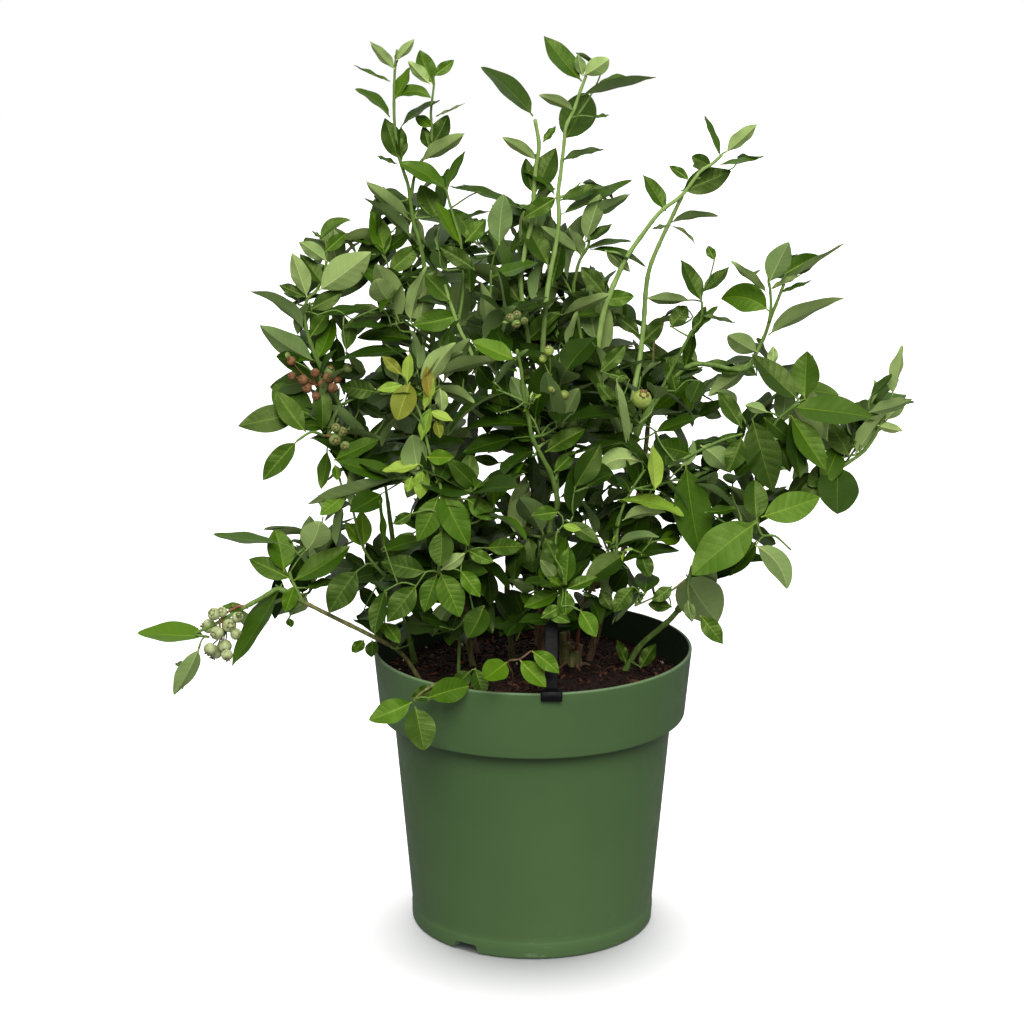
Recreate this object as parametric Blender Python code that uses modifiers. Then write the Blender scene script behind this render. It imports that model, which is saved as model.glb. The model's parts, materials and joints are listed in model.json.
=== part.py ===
"""A blueberry bush in a round plastic nursery pot.

The frame is the pot's own: Z is up, the origin is the centre of the flat underside of the pot, and the front,
the side with the label clip, faces -Y. All lengths are in metres.

The pot, the potting mix, the label clip and the woody crown are turned or extruded. Canes and boughs are
tapering tubes that stop where they enter a mass of foliage. Each mass of foliage is an uneven ellipsoid, and
where two masses meet, both are cut back from one plane between them, so that a thin gap stays.
"""

import math
import random

import bmesh
import bpy
from mathutils import Matrix, Vector
from mathutils.bvhtree import BVHTree

GAP = 0.0004  # clearance kept between pieces that meet

# ---------------------------------------------------------------- pot
POT_HEIGHT = 0.202
RIM_RADIUS = 0.1128
BAND_RADIUS = 0.1082  # outer radius at the lower edge of the rim band
BAND_HEIGHT = 0.048
STEP_WIDTH = 0.0092  # how far the wall steps in under the band
BASE_RADIUS = 0.0871
BASE_RING_HEIGHT = 0.0105
BASE_RING_STEP = 0.0006  # how far the base ring stands out from the wall above it
WALL = 0.0026
FLOOR = 0.0030
POT_STEPS = 32
NOTCH_COUNT = 3
NOTCH_FOOT_WIDTH = 0.0220
NOTCH_TOP_WIDTH = 0.0160
NOTCH_HEIGHT = 0.0060
NOTCH_FIRST_ANGLE = math.radians(-123.0)  # the notch seen left of the front

# ---------------------------------------------------------------- woody crown
STOCK_CENTRE = (0.027, 0.005)
STOCK_RADIUS = 0.0110
STOCK_HEIGHT = 0.0150

# ---------------------------------------------------------------- potting mix
SOIL_EDGE_HEIGHT = 0.1795
SOIL_CENTRE_HEIGHT = 0.1865
SOIL_STEPS = POT_STEPS

# ---------------------------------------------------------------- label clip
CLIP_X = 0.0118
CLIP_WIDTH = 0.0085
CLIP_HOOK_WIDTH = 0.0145
CLIP_THICKNESS = 0.0016
CLIP_TOP = 0.290
CLIP_DROP = 0.0075  # how far the hook hangs down outside the rim
CLIP_LEAN = 0.034  # how far the strip's top leans in from the rim
CLIP_SLOT = 0.0024  # clearance of the slot in the foliage round the strip

# ---------------------------------------------------------------- colours (linear)
POT_GREEN = (0.060, 0.115, 0.045, 1.0)
SOIL_BROWN = (0.045, 0.020, 0.012, 1.0)
CLIP_BLACK = (0.008, 0.008, 0.009, 1.0)
BARK_BROWN = (0.10, 0.060, 0.035, 1.0)
SHOOT_GREEN = (0.20, 0.33, 0.09, 1.0)
LEAF_GREENS = (
    (0.035, 0.120, 0.020, 1.0),
    (0.050, 0.155, 0.028, 1.0),
    (0.028, 0.095, 0.020, 1.0),
    (0.065, 0.180, 0.040, 1.0),
)


# ---------------------------------------------------------------- scene and helpers
def clear_scene():
    for obj in list(bpy.data.objects):
        bpy.data.objects.remove(obj, do_unlink=True)


def collection(name):
    made = bpy.data.collections.new(name)
    bpy.context.scene.collection.children.link(made)
    return made


def material(name, colour, roughness=0.6, metallic=0.0):
    made = bpy.data.materials.new(name)
    made.use_nodes = True
    shader = made.node_tree.nodes["Principled BSDF"]
    shader.inputs["Base Color"].default_value = colour
    shader.inputs["Roughness"].default_value = roughness
    shader.inputs["Metallic"].default_value = metallic
    made.diffuse_color = colour
    return made


def add_mesh(name, bm, group, mat, smooth=True):
    mesh = bpy.data.meshes.new(name)
    bmesh.ops.recalc_face_normals(bm, faces=bm.faces)
    bm.to_mesh(mesh)
    bm.free()
    mesh.materials.append(mat)
    if smooth:
        mesh.shade_smooth()
        mesh.set_sharp_from_angle(angle=math.radians(40))
    obj = bpy.data.objects.new(name, mesh)
    group.objects.link(obj)
    return obj


def turned(name, profile, steps, group, mat):
    """A solid turned round Z from a profile of (radius, height) points that runs down its outer side."""
    mesh = bpy.data.meshes.new(name)
    points = [(radius, 0.0, height) for radius, height in profile]
    mesh.from_pydata(points, [(i, i + 1) for i in range(len(points) - 1)], [])
    mesh.materials.append(mat)
    obj = bpy.data.objects.new(name, mesh)
    group.objects.link(obj)
    screw = obj.modifiers.new("turn", "SCREW")
    screw.axis = "Z"
    screw.angle = math.tau
    screw.steps = screw.render_steps = steps
    screw.use_merge_vertices = True
    screw.merge_threshold = 0.00005
    screw.use_smooth_shade = True
    return obj


def box_cutter(name, size, matrix, group):
    bm = bmesh.new()
    bmesh.ops.create_cube(bm, size=1.0)
    bmesh.ops.scale(bm, vec=size, verts=bm.verts)
    mesh = bpy.data.meshes.new(name)
    bm.to_mesh(mesh)
    bm.free()
    obj = bpy.data.objects.new(name, mesh)
    obj.matrix_world = matrix
    obj.hide_render = True
    obj.display_type = "WIRE"
    group.objects.link(obj)
    return obj


def cut(obj, cutter):
    modifier = obj.modifiers.new("cut " + cutter.name, "BOOLEAN")
    modifier.operation = "DIFFERENCE"
    modifier.object = cutter
    return modifier


# ---------------------------------------------------------------- pot, potting mix, label clip
def wall_radius(height):
    """Outer radius of the pot's tapering wall below the rim band."""
    top = POT_HEIGHT - BAND_HEIGHT
    share = (height - BASE_RING_HEIGHT) / (top - BASE_RING_HEIGHT)
    foot = BASE_RADIUS - BASE_RING_STEP
    return foot + share * (BAND_RADIUS - STEP_WIDTH - foot)


def soil_height(radius):
    inner = wall_radius(POT_HEIGHT - BAND_HEIGHT)
    share = min(1.0, radius / inner)
    return SOIL_CENTRE_HEIGHT + (SOIL_EDGE_HEIGHT - SOIL_CENTRE_HEIGHT) * share**2


def build_pot(group, cutters):
    band_foot = POT_HEIGHT - BAND_HEIGHT
    under_band = band_foot + 0.0016
    profile = [
        (RIM_RADIUS - WALL + 0.0004, POT_HEIGHT - 0.0004),
        (RIM_RADIUS - 0.0007, POT_HEIGHT),
        (RIM_RADIUS, POT_HEIGHT - 0.0009),
        (BAND_RADIUS, under_band),
        (BAND_RADIUS - 0.0012, band_foot),
        (wall_radius(band_foot), band_foot),
        (wall_radius(BASE_RING_HEIGHT), BASE_RING_HEIGHT + 0.0004),
        (BASE_RADIUS, BASE_RING_HEIGHT - 0.0004),
        (BASE_RADIUS - 0.0002, 0.0010),
        (BASE_RADIUS - 0.0010, 0.0),
        (0.0, 0.0),
        (0.0, FLOOR),
        (BASE_RADIUS - BASE_RING_STEP - WALL - 0.0010, FLOOR),
        (wall_radius(BASE_RING_HEIGHT + 0.004) - WALL, BASE_RING_HEIGHT + 0.004),
        (wall_radius(band_foot) - WALL, band_foot + 0.0020),
        (BAND_RADIUS - WALL, band_foot + 0.0045),
        (RIM_RADIUS - WALL, POT_HEIGHT - 0.0009),
        (RIM_RADIUS - WALL + 0.0004, POT_HEIGHT - 0.0004),
    ]
    pot = turned("pot", profile, POT_STEPS, group, material("pot green plastic", POT_GREEN, 0.45))
    for index in range(NOTCH_COUNT):
        angle = NOTCH_FIRST_ANGLE + index * math.tau / NOTCH_COUNT
        middle = BASE_RADIUS - 0.0040
        place = Matrix.Rotation(angle, 4, "Z") @ Matrix.Translation((middle, 0.0, NOTCH_HEIGHT / 2 - 0.001))
        cutter = box_cutter(
            f"notch {index + 1}", (0.0200, NOTCH_FOOT_WIDTH, NOTCH_HEIGHT + 0.002), place, cutters
        )
        for vertex in cutter.data.vertices:
            if vertex.co.z > 0:
                vertex.co.y *= NOTCH_TOP_WIDTH / NOTCH_FOOT_WIDTH
        cut(pot, cutter)
    return pot


def build_soil(group):
    band_foot = POT_HEIGHT - BAND_HEIGHT
    clear = WALL + GAP + 0.0006
    edge = BAND_RADIUS + (RIM_RADIUS - BAND_RADIUS) * (SOIL_EDGE_HEIGHT - band_foot) / BAND_HEIGHT - clear - 0.0004
    rows = 2
    profile = [(0.0, SOIL_CENTRE_HEIGHT)]
    for row in range(1, rows + 1):
        radius = edge * row / rows
        profile.append((radius, soil_height(radius)))
    profile += [
        (BAND_RADIUS - clear, band_foot + 0.0065),
        (wall_radius(band_foot) - clear, band_foot + 0.0030),
        (wall_radius(0.020) - clear, 0.020),
        (BASE_RADIUS - 0.0170, FLOOR + GAP),
        (0.0, FLOOR + GAP),
    ]
    return turned("potting_mix", profile, SOIL_STEPS, group, material("potting mix", SOIL_BROWN, 0.95))


def inner_wall_depth(height):
    """How far from the middle plane the pot's inner wall lies at the clip, measured to its flats."""
    band_foot = POT_HEIGHT - BAND_HEIGHT
    outer = BAND_RADIUS + (RIM_RADIUS - BAND_RADIUS) * (height - band_foot) / BAND_HEIGHT
    flat = (outer - WALL) * math.cos(math.pi / POT_STEPS)
    return math.sqrt(flat**2 - (CLIP_X + CLIP_HOOK_WIDTH / 2) ** 2) - GAP


def slab(name, outline, half_width, group, mat):
    """A flat outline in (y, z), as thick along X as twice the half width."""
    bm = bmesh.new()
    face = bm.faces.new([bm.verts.new((CLIP_X - half_width, y, z)) for y, z in outline])
    moved = bmesh.ops.extrude_face_region(bm, geom=[face])["geom"]
    bmesh.ops.translate(bm, vec=(2 * half_width, 0, 0), verts=[v for v in moved if isinstance(v, bmesh.types.BMVert)])
    bmesh.ops.triangulate(bm, faces=bm.faces)
    return add_mesh(name, bm, group, mat, smooth=False)


def build_clip(group, cutters):
    """A flat black strip that stands in the mix just inside the front of the rim, with a wider hook over the rim."""
    t = CLIP_THICKNESS
    black = material("label clip black", CLIP_BLACK, 0.4)
    back = -inner_wall_depth(SOIL_EDGE_HEIGHT)  # the strip's front face, clear of the wall's inner side
    outer = -RIM_RADIUS - GAP
    foot = soil_height(-back - 2 * t) + GAP
    under = POT_HEIGHT + GAP
    strip = slab(
        "label_clip",
        [(back, foot), (back, POT_HEIGHT), (back + CLIP_LEAN, CLIP_TOP), (back + CLIP_LEAN + t, CLIP_TOP), (back + t, POT_HEIGHT), (back + t, foot)],
        CLIP_WIDTH / 2,
        group,
        black,
    )
    hook = slab(
        "clip hook",
        [(outer, under), (outer, POT_HEIGHT - CLIP_DROP), (outer - t, POT_HEIGHT - CLIP_DROP), (outer - t, under + t), (back + t * 1.2, under + t), (back + t * 1.2, under - 0.006), (back, under - 0.006), (back, under)],
        CLIP_HOOK_WIDTH / 2,
        cutters,
        black,
    )
    hook.hide_render = True
    hook.display_type = "WIRE"
    joined = strip.modifiers.new("join hook", "BOOLEAN")
    joined.operation = "UNION"
    joined.object = hook
    return strip


def clip_slot(cutters):
    """The room that the foliage leaves for the leaning strip."""
    back = -inner_wall_depth(SOIL_EDGE_HEIGHT)
    low = Vector((CLIP_X, back + CLIP_THICKNESS / 2, POT_HEIGHT))
    high = Vector((CLIP_X, back + CLIP_THICKNESS / 2 + CLIP_LEAN, CLIP_TOP))
    along = high - low
    place = Matrix.Translation((low + high) / 2 + along.normalized() * 0.002) @ Matrix.Rotation(
        -math.atan2(along.y, along.z), 4, "X"
    )
    size = (CLIP_WIDTH + 2 * CLIP_SLOT, CLIP_THICKNESS + 2 * CLIP_SLOT, along.length + 0.006)
    return box_cutter("clip slot", size, place, cutters)


# ---------------------------------------------------------------- foliage
class Mass:
    """One mass of leaves: an ellipsoid with seeded lobes, leaned over by an angle and narrowed towards its top."""

    def __init__(self, name, centre, half, lean=0.0, taper=0.0, swing=0.0, seed=1, level=3, lobes=0.16):
        self.name = name
        self.centre = Vector(centre)
        self.half = Vector(half)
        self.taper = taper
        self.turn = Matrix.Rotation(math.radians(swing), 3, "Z") @ Matrix.Rotation(math.radians(lean), 3, "Y")
        self.seed = seed
        self.level = level
        self.lobes = lobes

    def reach(self, direction):
        """How far the plain ellipsoid goes from its centre along a world direction."""
        local = self.turn.transposed() @ direction.normalized()
        return 1.0 / math.sqrt(sum((local[k] / self.half[k]) ** 2 for k in range(3)))

    def points(self, bm):
        rng = random.Random(self.seed)
        waves = []
        for index in range(9):
            axis = Vector((rng.gauss(0, 1), rng.gauss(0, 1), rng.gauss(0, 1))).normalized()
            waves.append((axis * rng.uniform(2.0, 5.5), rng.uniform(0, math.tau), rng.uniform(0.5, 1.0)))
        shaped = []
        for vertex in bm.verts:
            d = vertex.co.normalized()
            lobe = sum(weight * math.sin(axis.dot(d) + phase) for axis, phase, weight in waves)
            lobe += 0.9 * rng.uniform(-1, 1)
            scale = 1.0 + self.lobes * lobe / 2.2
            narrow = 1.0 - self.taper * 0.5 * (d.z + 0.3)
            shaped.append(Vector((d.x * scale * narrow, d.y * scale * narrow, d.z * scale)))
        for k in range(3):
            low = min(p[k] for p in shaped)
            high = max(p[k] for p in shaped)
            for p in shaped:
                p[k] = ((p[k] - low) / (high - low) * 2.0 - 1.0) * self.half[k]
        return [self.turn @ p for p in shaped]


def meeting_planes(masses):
    """For each mass, the planes (normal, offset) that it stays behind, one for each neighbour."""
    planes = {mass.name: [] for mass in masses}
    for i, one in enumerate(masses):
        for other in masses[i + 1 :]:
            apart = other.centre - one.centre
            normal = apart.normalized()
            first, second = one.reach(normal), other.reach(-normal)
            at = apart.length * first / (first + second)
            foot = one.centre + normal * at
            planes[one.name].append((normal, normal.dot(foot) - GAP))
            planes[other.name].append((-normal, -normal.dot(foot) - GAP))
    return planes


def build_mass(mass, planes, group, mat):
    bm = bmesh.new()
    bmesh.ops.create_icosphere(bm, subdivisions=mass.level, radius=1.0)
    placed = mass.points(bm)
    for vertex, offset in zip(bm.verts, placed):
        share = 1.0
        for normal, limit in planes:
            along = normal.dot(offset)
            room = limit - normal.dot(mass.centre)
            if along > room * 0.999 and along > 1e-9:
                share = min(share, max(0.02, room / along))
        vertex.co = mass.centre + offset * share
    return add_mesh(mass.name, bm, group, mat)


def rim_plane(mass, margin=0.0012):
    """Keeps a mass that hangs outside the pot on the far side of a plane that touches the rim."""
    outward = Vector((mass.centre.x, mass.centre.y, 0.0)).normalized()
    return (-outward, -(RIM_RADIUS + margin))


MASSES = [
    # name, centre, half sizes, lean about Y, taper, swing about Z, seed, level
    Mass("foliage_spire_left", (-0.083, 0.015, 0.562), (0.036, 0.038, 0.065), 3, 0.15, 0, 11),
    Mass("foliage_spire_centre", (0.022, 0.000, 0.560), (0.058, 0.046, 0.0665), 6, 0.10, 0, 12),
    Mass("foliage_spire_right", (0.117, 0.000, 0.537), (0.044, 0.040, 0.040), 30, 0.0, 0, 13, 2),
    Mass("foliage_spire_back", (-0.025, 0.110, 0.500), (0.050, 0.048, 0.062), 0, 0.25, 0, 14),
    Mass("foliage_shoulder_right", (0.158, 0.010, 0.437), (0.058, 0.056, 0.054), 35, 0.0, 0, 15),
    Mass("foliage_shoulder_left", (-0.134, 0.000, 0.448), (0.059, 0.058, 0.062), -10, 0.0, 0, 16),
    Mass("foliage_shoulder_back_right", (0.090, 0.115, 0.425), (0.066, 0.060, 0.070), 15, 0.1, 0, 17),
    Mass("foliage_shoulder_back_left", (-0.085, 0.125, 0.395), (0.066, 0.058, 0.072), -12, 0.1, 0, 18),
    Mass("foliage_arm_right", (0.180, -0.030, 0.358), (0.055, 0.058, 0.058), 20, 0.0, 0, 19),
    Mass("foliage_arm_right_tip", (0.234, -0.025, 0.376), (0.026, 0.030, 0.044), 25, 0.0, 0, 20, 2),
    Mass("foliage_low_right", (0.134, -0.062, 0.289), (0.054, 0.060, 0.062), -8, 0.0, 0, 21),
    Mass("foliage_side_left", (-0.146, -0.030, 0.362), (0.056, 0.054, 0.046), 0, 0.0, 0, 22),
    Mass("foliage_low_left_whorl", (-0.164, -0.045, 0.268), (0.052, 0.044, 0.036), 8, 0.0, 0, 23, 2),
    Mass("foliage_low_left_tip", (-0.240, -0.045, 0.220), (0.037, 0.030, 0.029), -28, 0.0, 0, 24, 2),
    Mass("foliage_crown_upper_left", (-0.052, -0.010, 0.448), (0.052, 0.062, 0.060), 0, 0.05, 0, 25),
    Mass("foliage_crown_upper_right", (0.038, -0.010, 0.448), (0.050, 0.062, 0.060), 0, 0.05, 0, 26),
    Mass("foliage_crown_front_left", (-0.052, -0.065, 0.366), (0.056, 0.066, 0.060), 0, 0.0, 0, 27),
    Mass("foliage_crown_front_right", (0.054, -0.062, 0.364), (0.064, 0.066, 0.060), 0, 0.0, 0, 28),
    Mass("foliage_low_left", (-0.080, -0.030, 0.262), (0.050, 0.062, 0.056), 0, 0.0, 0, 29),
    Mass("foliage_low_front", (0.030, -0.055, 0.272), (0.060, 0.062, 0.052), 0, 0.0, 0, 30),
    Mass("foliage_back_left", (-0.070, 0.095, 0.290), (0.078, 0.074, 0.064), 0, 0.0, 0, 31),
    Mass("foliage_back_right", (0.085, 0.085, 0.305), (0.080, 0.076, 0.072), 0, 0.0, 0, 32),
    Mass("foliage_heart", (0.000, 0.040, 0.365), (0.066, 0.066, 0.066), 0, 0.0, 0, 33),
    Mass("foliage_drape_front", (-0.082, -0.116, 0.192), (0.040, 0.034, 0.027), 0, 0.0, 40, 34, 2),
]

LOW_EDGE = POT_HEIGHT + 0.012  # masses above the pot stop clear of its rim


def build_foliage(group):
    mats = [material(f"leaves {index + 1}", colour, 0.55) for index, colour in enumerate(LEAF_GREENS)]
    planes = meeting_planes(MASSES)
    built = {}
    for index, mass in enumerate(MASSES):
        limits = planes[mass.name]
        if mass.name in ("foliage_drape_front",):
            limits.append(rim_plane(mass))
        elif math.hypot(mass.centre.x, mass.centre.y) < RIM_RADIUS + 0.060:
            limits.append((Vector((0, 0, -1)), -LOW_EDGE))
        built[mass.name] = build_mass(mass, limits, group, mats[index % len(mats)])
    return built


# ---------------------------------------------------------------- canes and boughs
class Limb:
    """A tapering cane or bough through a few named points, from its foot to its tip."""

    def __init__(self, name, points, foot_radius, tip_radius, bark="brown", from_soil=True):
        self.name = name
        self.points = [Vector(p) for p in points]
        self.foot_radius = foot_radius
        self.tip_radius = tip_radius
        self.bark = bark
        self.from_soil = from_soil

    def at(self, share):
        """A point on the smooth curve through the limb's points, share running from 0 to 1."""
        last = len(self.points) - 1
        place = min(max(share, 0.0), 1.0) * last
        index = min(int(place), last - 1)
        t = place - index
        p1, p2 = self.points[index], self.points[index + 1]
        p0 = self.points[index - 1] if index > 0 else p1 * 2 - p2
        p3 = self.points[index + 2] if index + 2 <= last else p2 * 2 - p1
        return 0.5 * (
            p1 * 2 + (p2 - p0) * t + (p0 * 2 - p1 * 5 + p2 * 4 - p3) * t**2 + (p1 * 3 - p0 - p2 * 3 + p3) * t**3
        )

    def radius(self, share):
        return self.foot_radius + (self.tip_radius - self.foot_radius) * share


LIMBS = [
    Limb("cane_left", [(-0.084, 0.022), (-0.088, 0.020, 0.200), (-0.092, 0.018, 0.222), (-0.096, 0.012, 0.250), (-0.100, 0.005, 0.290)], 0.0024, 0.0020),
    Limb("cane_left_arm", [(-0.074, -0.028), (-0.092, -0.034, 0.206), (-0.115, -0.040, 0.222), (-0.140, -0.043, 0.236), (-0.165, -0.045, 0.250)], 0.0025, 0.0020),
    Limb("cane_inner_left", [(-0.042, 0.004), (-0.046, 0.002, 0.205), (-0.050, 0.000, 0.230), (-0.053, -0.006, 0.262), (-0.055, -0.012, 0.300)], 0.0026, 0.0021),
    Limb("cane_centre_left", [(-0.014, 0.014), (-0.016, 0.014, 0.205), (-0.018, 0.015, 0.240), (-0.014, 0.018, 0.280), (-0.010, 0.020, 0.330)], 0.0026, 0.0022),
    Limb("cane_centre", [(0.014, 0.020), (0.012, 0.020, 0.205), (0.010, 0.022, 0.240), (0.008, 0.026, 0.280), (0.006, 0.030, 0.330)], 0.0030, 0.0024),
    Limb("cane_centre_front", [(0.008, -0.014), (0.006, -0.018, 0.205), (0.007, -0.023, 0.230), (0.010, -0.030, 0.262), (0.012, -0.038, 0.300)], 0.0026, 0.0022),
    Limb("cane_inner_right", [(0.040, 0.016), (0.046, 0.016, 0.205), (0.052, 0.014, 0.235), (0.058, 0.008, 0.270), (0.064, 0.000, 0.310)], 0.0028, 0.0023),
    Limb("cane_right", [(0.065, 0.004), (0.076, 0.001, 0.200), (0.091, -0.004, 0.216), (0.102, -0.010, 0.230), (0.116, -0.022, 0.258)], 0.0029, 0.0025),
    Limb("cane_back_left", [(-0.040, 0.045), (-0.046, 0.054, 0.205), (-0.052, 0.064, 0.232), (-0.058, 0.076, 0.262), (-0.064, 0.088, 0.300)], 0.0027, 0.0022),
    Limb("cane_back_right", [(0.042, 0.048), (0.050, 0.056, 0.205), (0.060, 0.064, 0.232), (0.070, 0.074, 0.262), (0.080, 0.084, 0.300)], 0.0028, 0.0023),
    Limb("cane_back", [(0.004, 0.056), (0.004, 0.062, 0.205), (0.003, 0.066, 0.235), (0.002, 0.066, 0.265), (0.000, 0.060, 0.310)], 0.0026, 0.0022),
    Limb("bough_spire_right", [(0.044, 0.000, 0.4209), (0.0535, 0.000, 0.442), (0.0650, 0.000, 0.462), (0.0801, 0.000, 0.4867), (0.0985, 0.000, 0.509), (0.115, 0.000, 0.528)], 0.0028, 0.0020, "green", False),
    Limb("bough_spire_right_inner", [(0.0769, 0.020, 0.4208), (0.0785, 0.020, 0.444), (0.0812, 0.018, 0.4675), (0.0890, 0.012, 0.494), (0.1010, 0.006, 0.516), (0.112, 0.003, 0.532)], 0.0022, 0.0017, "green", False),
    Limb("bough_spire_left", [(-0.070, 0.010, 0.430), (-0.076, 0.013, 0.470), (-0.082, 0.015, 0.500), (-0.086, 0.015, 0.530), (-0.089, 0.015, 0.560)], 0.0024, 0.0018, "green", False),
    Limb("bough_spire_centre", [(0.006, 0.005, 0.430), (0.012, 0.003, 0.470), (0.017, 0.000, 0.500), (0.021, 0.000, 0.530), (0.026, 0.000, 0.560)], 0.0026, 0.0018, "green", False),
    Limb("bough_spire_back", [(-0.006, 0.060, 0.400), (-0.012, 0.078, 0.430), (-0.018, 0.092, 0.455), (-0.022, 0.102, 0.480), (-0.025, 0.110, 0.505)], 0.0026, 0.0018, "green", False),
    Limb("bough_shoulder_right", [(0.080, 0.012, 0.370), (0.100, 0.012, 0.392), (0.120, 0.011, 0.410), (0.140, 0.010, 0.424), (0.158, 0.010, 0.436)], 0.0030, 0.0022, "green", False),
    Limb("bough_arm_right", [(0.088, -0.040, 0.320), (0.108, -0.040, 0.333), (0.128, -0.038, 0.343), (0.150, -0.034, 0.351), (0.172, -0.031, 0.357)], 0.0030, 0.0022, "green", False),
    Limb("bough_low_left", [(-0.165, -0.045, 0.262), (-0.185, -0.045, 0.250), (-0.203, -0.045, 0.240), (-0.220, -0.045, 0.230), (-0.236, -0.045, 0.221)], 0.0022, 0.0016, "green", False),
    Limb("bough_drape_front", [(-0.0670, -0.066), (-0.0672, -0.0735, 0.190), (-0.0668, -0.0815, 0.2025), (-0.0672, -0.0905, 0.2065), (-0.0715, -0.100, 0.2060), (-0.077, -0.108, 0.2015), (-0.081, -0.114, 0.195)], 0.0017, 0.0013, "green"),
]

SAMPLES = 60
LIMB_POINTS = 5
FOOT_RISE = 0.0035  # height of the upright piece at the foot of each cane


def trees_of(objects):
    graph = bpy.context.evaluated_depsgraph_get()
    return [BVHTree.FromObject(obj, graph) for obj in objects]


def clear_of(point, reach, trees):
    for tree in trees:
        place, normal, _, distance = tree.find_nearest(point)
        if place is None:
            continue
        if distance < reach or (point - place).dot(normal) < 0.0:
            return False
    return True


def build_limb(limb, trees, group, mats):
    """Builds the limb's longest stretch that lies outside every mass of foliage, with a level cut at the mix."""
    start = limb.points[0]
    foot = None
    if limb.from_soil:
        ground = soil_height(math.hypot(start.x, start.y) - limb.foot_radius) + GAP
        foot = Vector((start.x, start.y, ground))
        limb.points[0] = Vector((start.x, start.y, ground + FOOT_RISE))
    best, run = [], []
    for step in range(SAMPLES + 1):
        share = step / SAMPLES
        point = limb.at(share)
        if clear_of(point, limb.radius(share) + GAP, trees):
            run.append(share)
        else:
            best, run = max(best, run, key=len), []
    best = max(best, run, key=len)
    if len(best) < 3:
        return None
    stretch = [best[0] + (best[-1] - best[0]) * index / (LIMB_POINTS - 1) for index in range(LIMB_POINTS)]
    knots = [(limb.at(share), limb.radius(share)) for share in stretch]
    if foot is not None and best[0] == 0.0:
        knots.insert(0, (foot, limb.foot_radius * 1.12))
    curve = bpy.data.curves.new(limb.name, "CURVE")
    curve.dimensions = "3D"
    curve.bevel_depth = 1.0
    curve.bevel_resolution = 2
    curve.use_fill_caps = True
    spline = curve.splines.new("POLY")
    spline.points.add(len(knots) - 1)
    for knot, (point, radius) in zip(spline.points, knots):
        knot.co = (point.x, point.y, point.z, 1.0)
        knot.radius = radius
    curve.materials.append(mats[limb.bark])
    obj = bpy.data.objects.new(limb.name, curve)
    group.objects.link(obj)
    return obj


def build_woody_crown(group, mat):
    """The short knobbly stock at the heart of the clump, flat where it meets the mix."""
    centre_x, centre_y = STOCK_CENTRE
    ground = soil_height(math.hypot(centre_x, centre_y) - STOCK_RADIUS * 1.3) + GAP
    bm = bmesh.new()
    bmesh.ops.create_icosphere(bm, subdivisions=2, radius=1.0)
    rng = random.Random(5)
    waves = [(count, rng.uniform(0, math.tau), rng.uniform(0.5, 1.0)) for count in (2, 3, 5)]
    for vertex in bm.verts:
        d = vertex.co.normalized()
        around = math.atan2(d.y, d.x)
        lobe = sum(weight * math.sin(count * around + phase) for count, phase, weight in waves) / 3.0
        spread = STOCK_RADIUS * (1.0 + 0.3 * lobe) * (1.0 - 0.15 * max(d.z, 0.0))
        lift = STOCK_HEIGHT * max(d.z, 0.0) * (1.0 + 0.3 * lobe)
        vertex.co = Vector((centre_x + d.x * spread, centre_y + d.y * spread, ground + lift))
    return add_mesh("woody_crown", bm, group, mat)


def main():
    clear_scene()
    group = collection("blueberry bush in a pot")
    cutters = collection("cutters")
    cutters.hide_render = True
    build_pot(group, cutters)
    build_soil(group)
    build_clip(group, cutters)
    bark = {
        "brown": material("bark brown", BARK_BROWN, 0.8),
        "green": material("shoot green", SHOOT_GREEN, 0.5),
    }
    foliage = build_foliage(group)
    slot = clip_slot(cutters)
    for name in ("foliage_low_front", "foliage_crown_front_right", "foliage_crown_front_left"):
        cut(foliage[name], slot)
    bpy.context.view_layer.update()
    trees = trees_of(foliage.values())
    for limb in LIMBS:
        build_limb(limb, trees, group, bark)
    build_woody_crown(group, bark["brown"])


main()
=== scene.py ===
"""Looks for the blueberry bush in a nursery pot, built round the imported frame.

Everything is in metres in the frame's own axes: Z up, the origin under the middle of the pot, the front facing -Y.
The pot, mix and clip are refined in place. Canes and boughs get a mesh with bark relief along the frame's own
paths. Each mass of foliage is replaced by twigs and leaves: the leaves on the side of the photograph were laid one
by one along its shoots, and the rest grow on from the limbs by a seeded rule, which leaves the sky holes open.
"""

import json
import math

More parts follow.
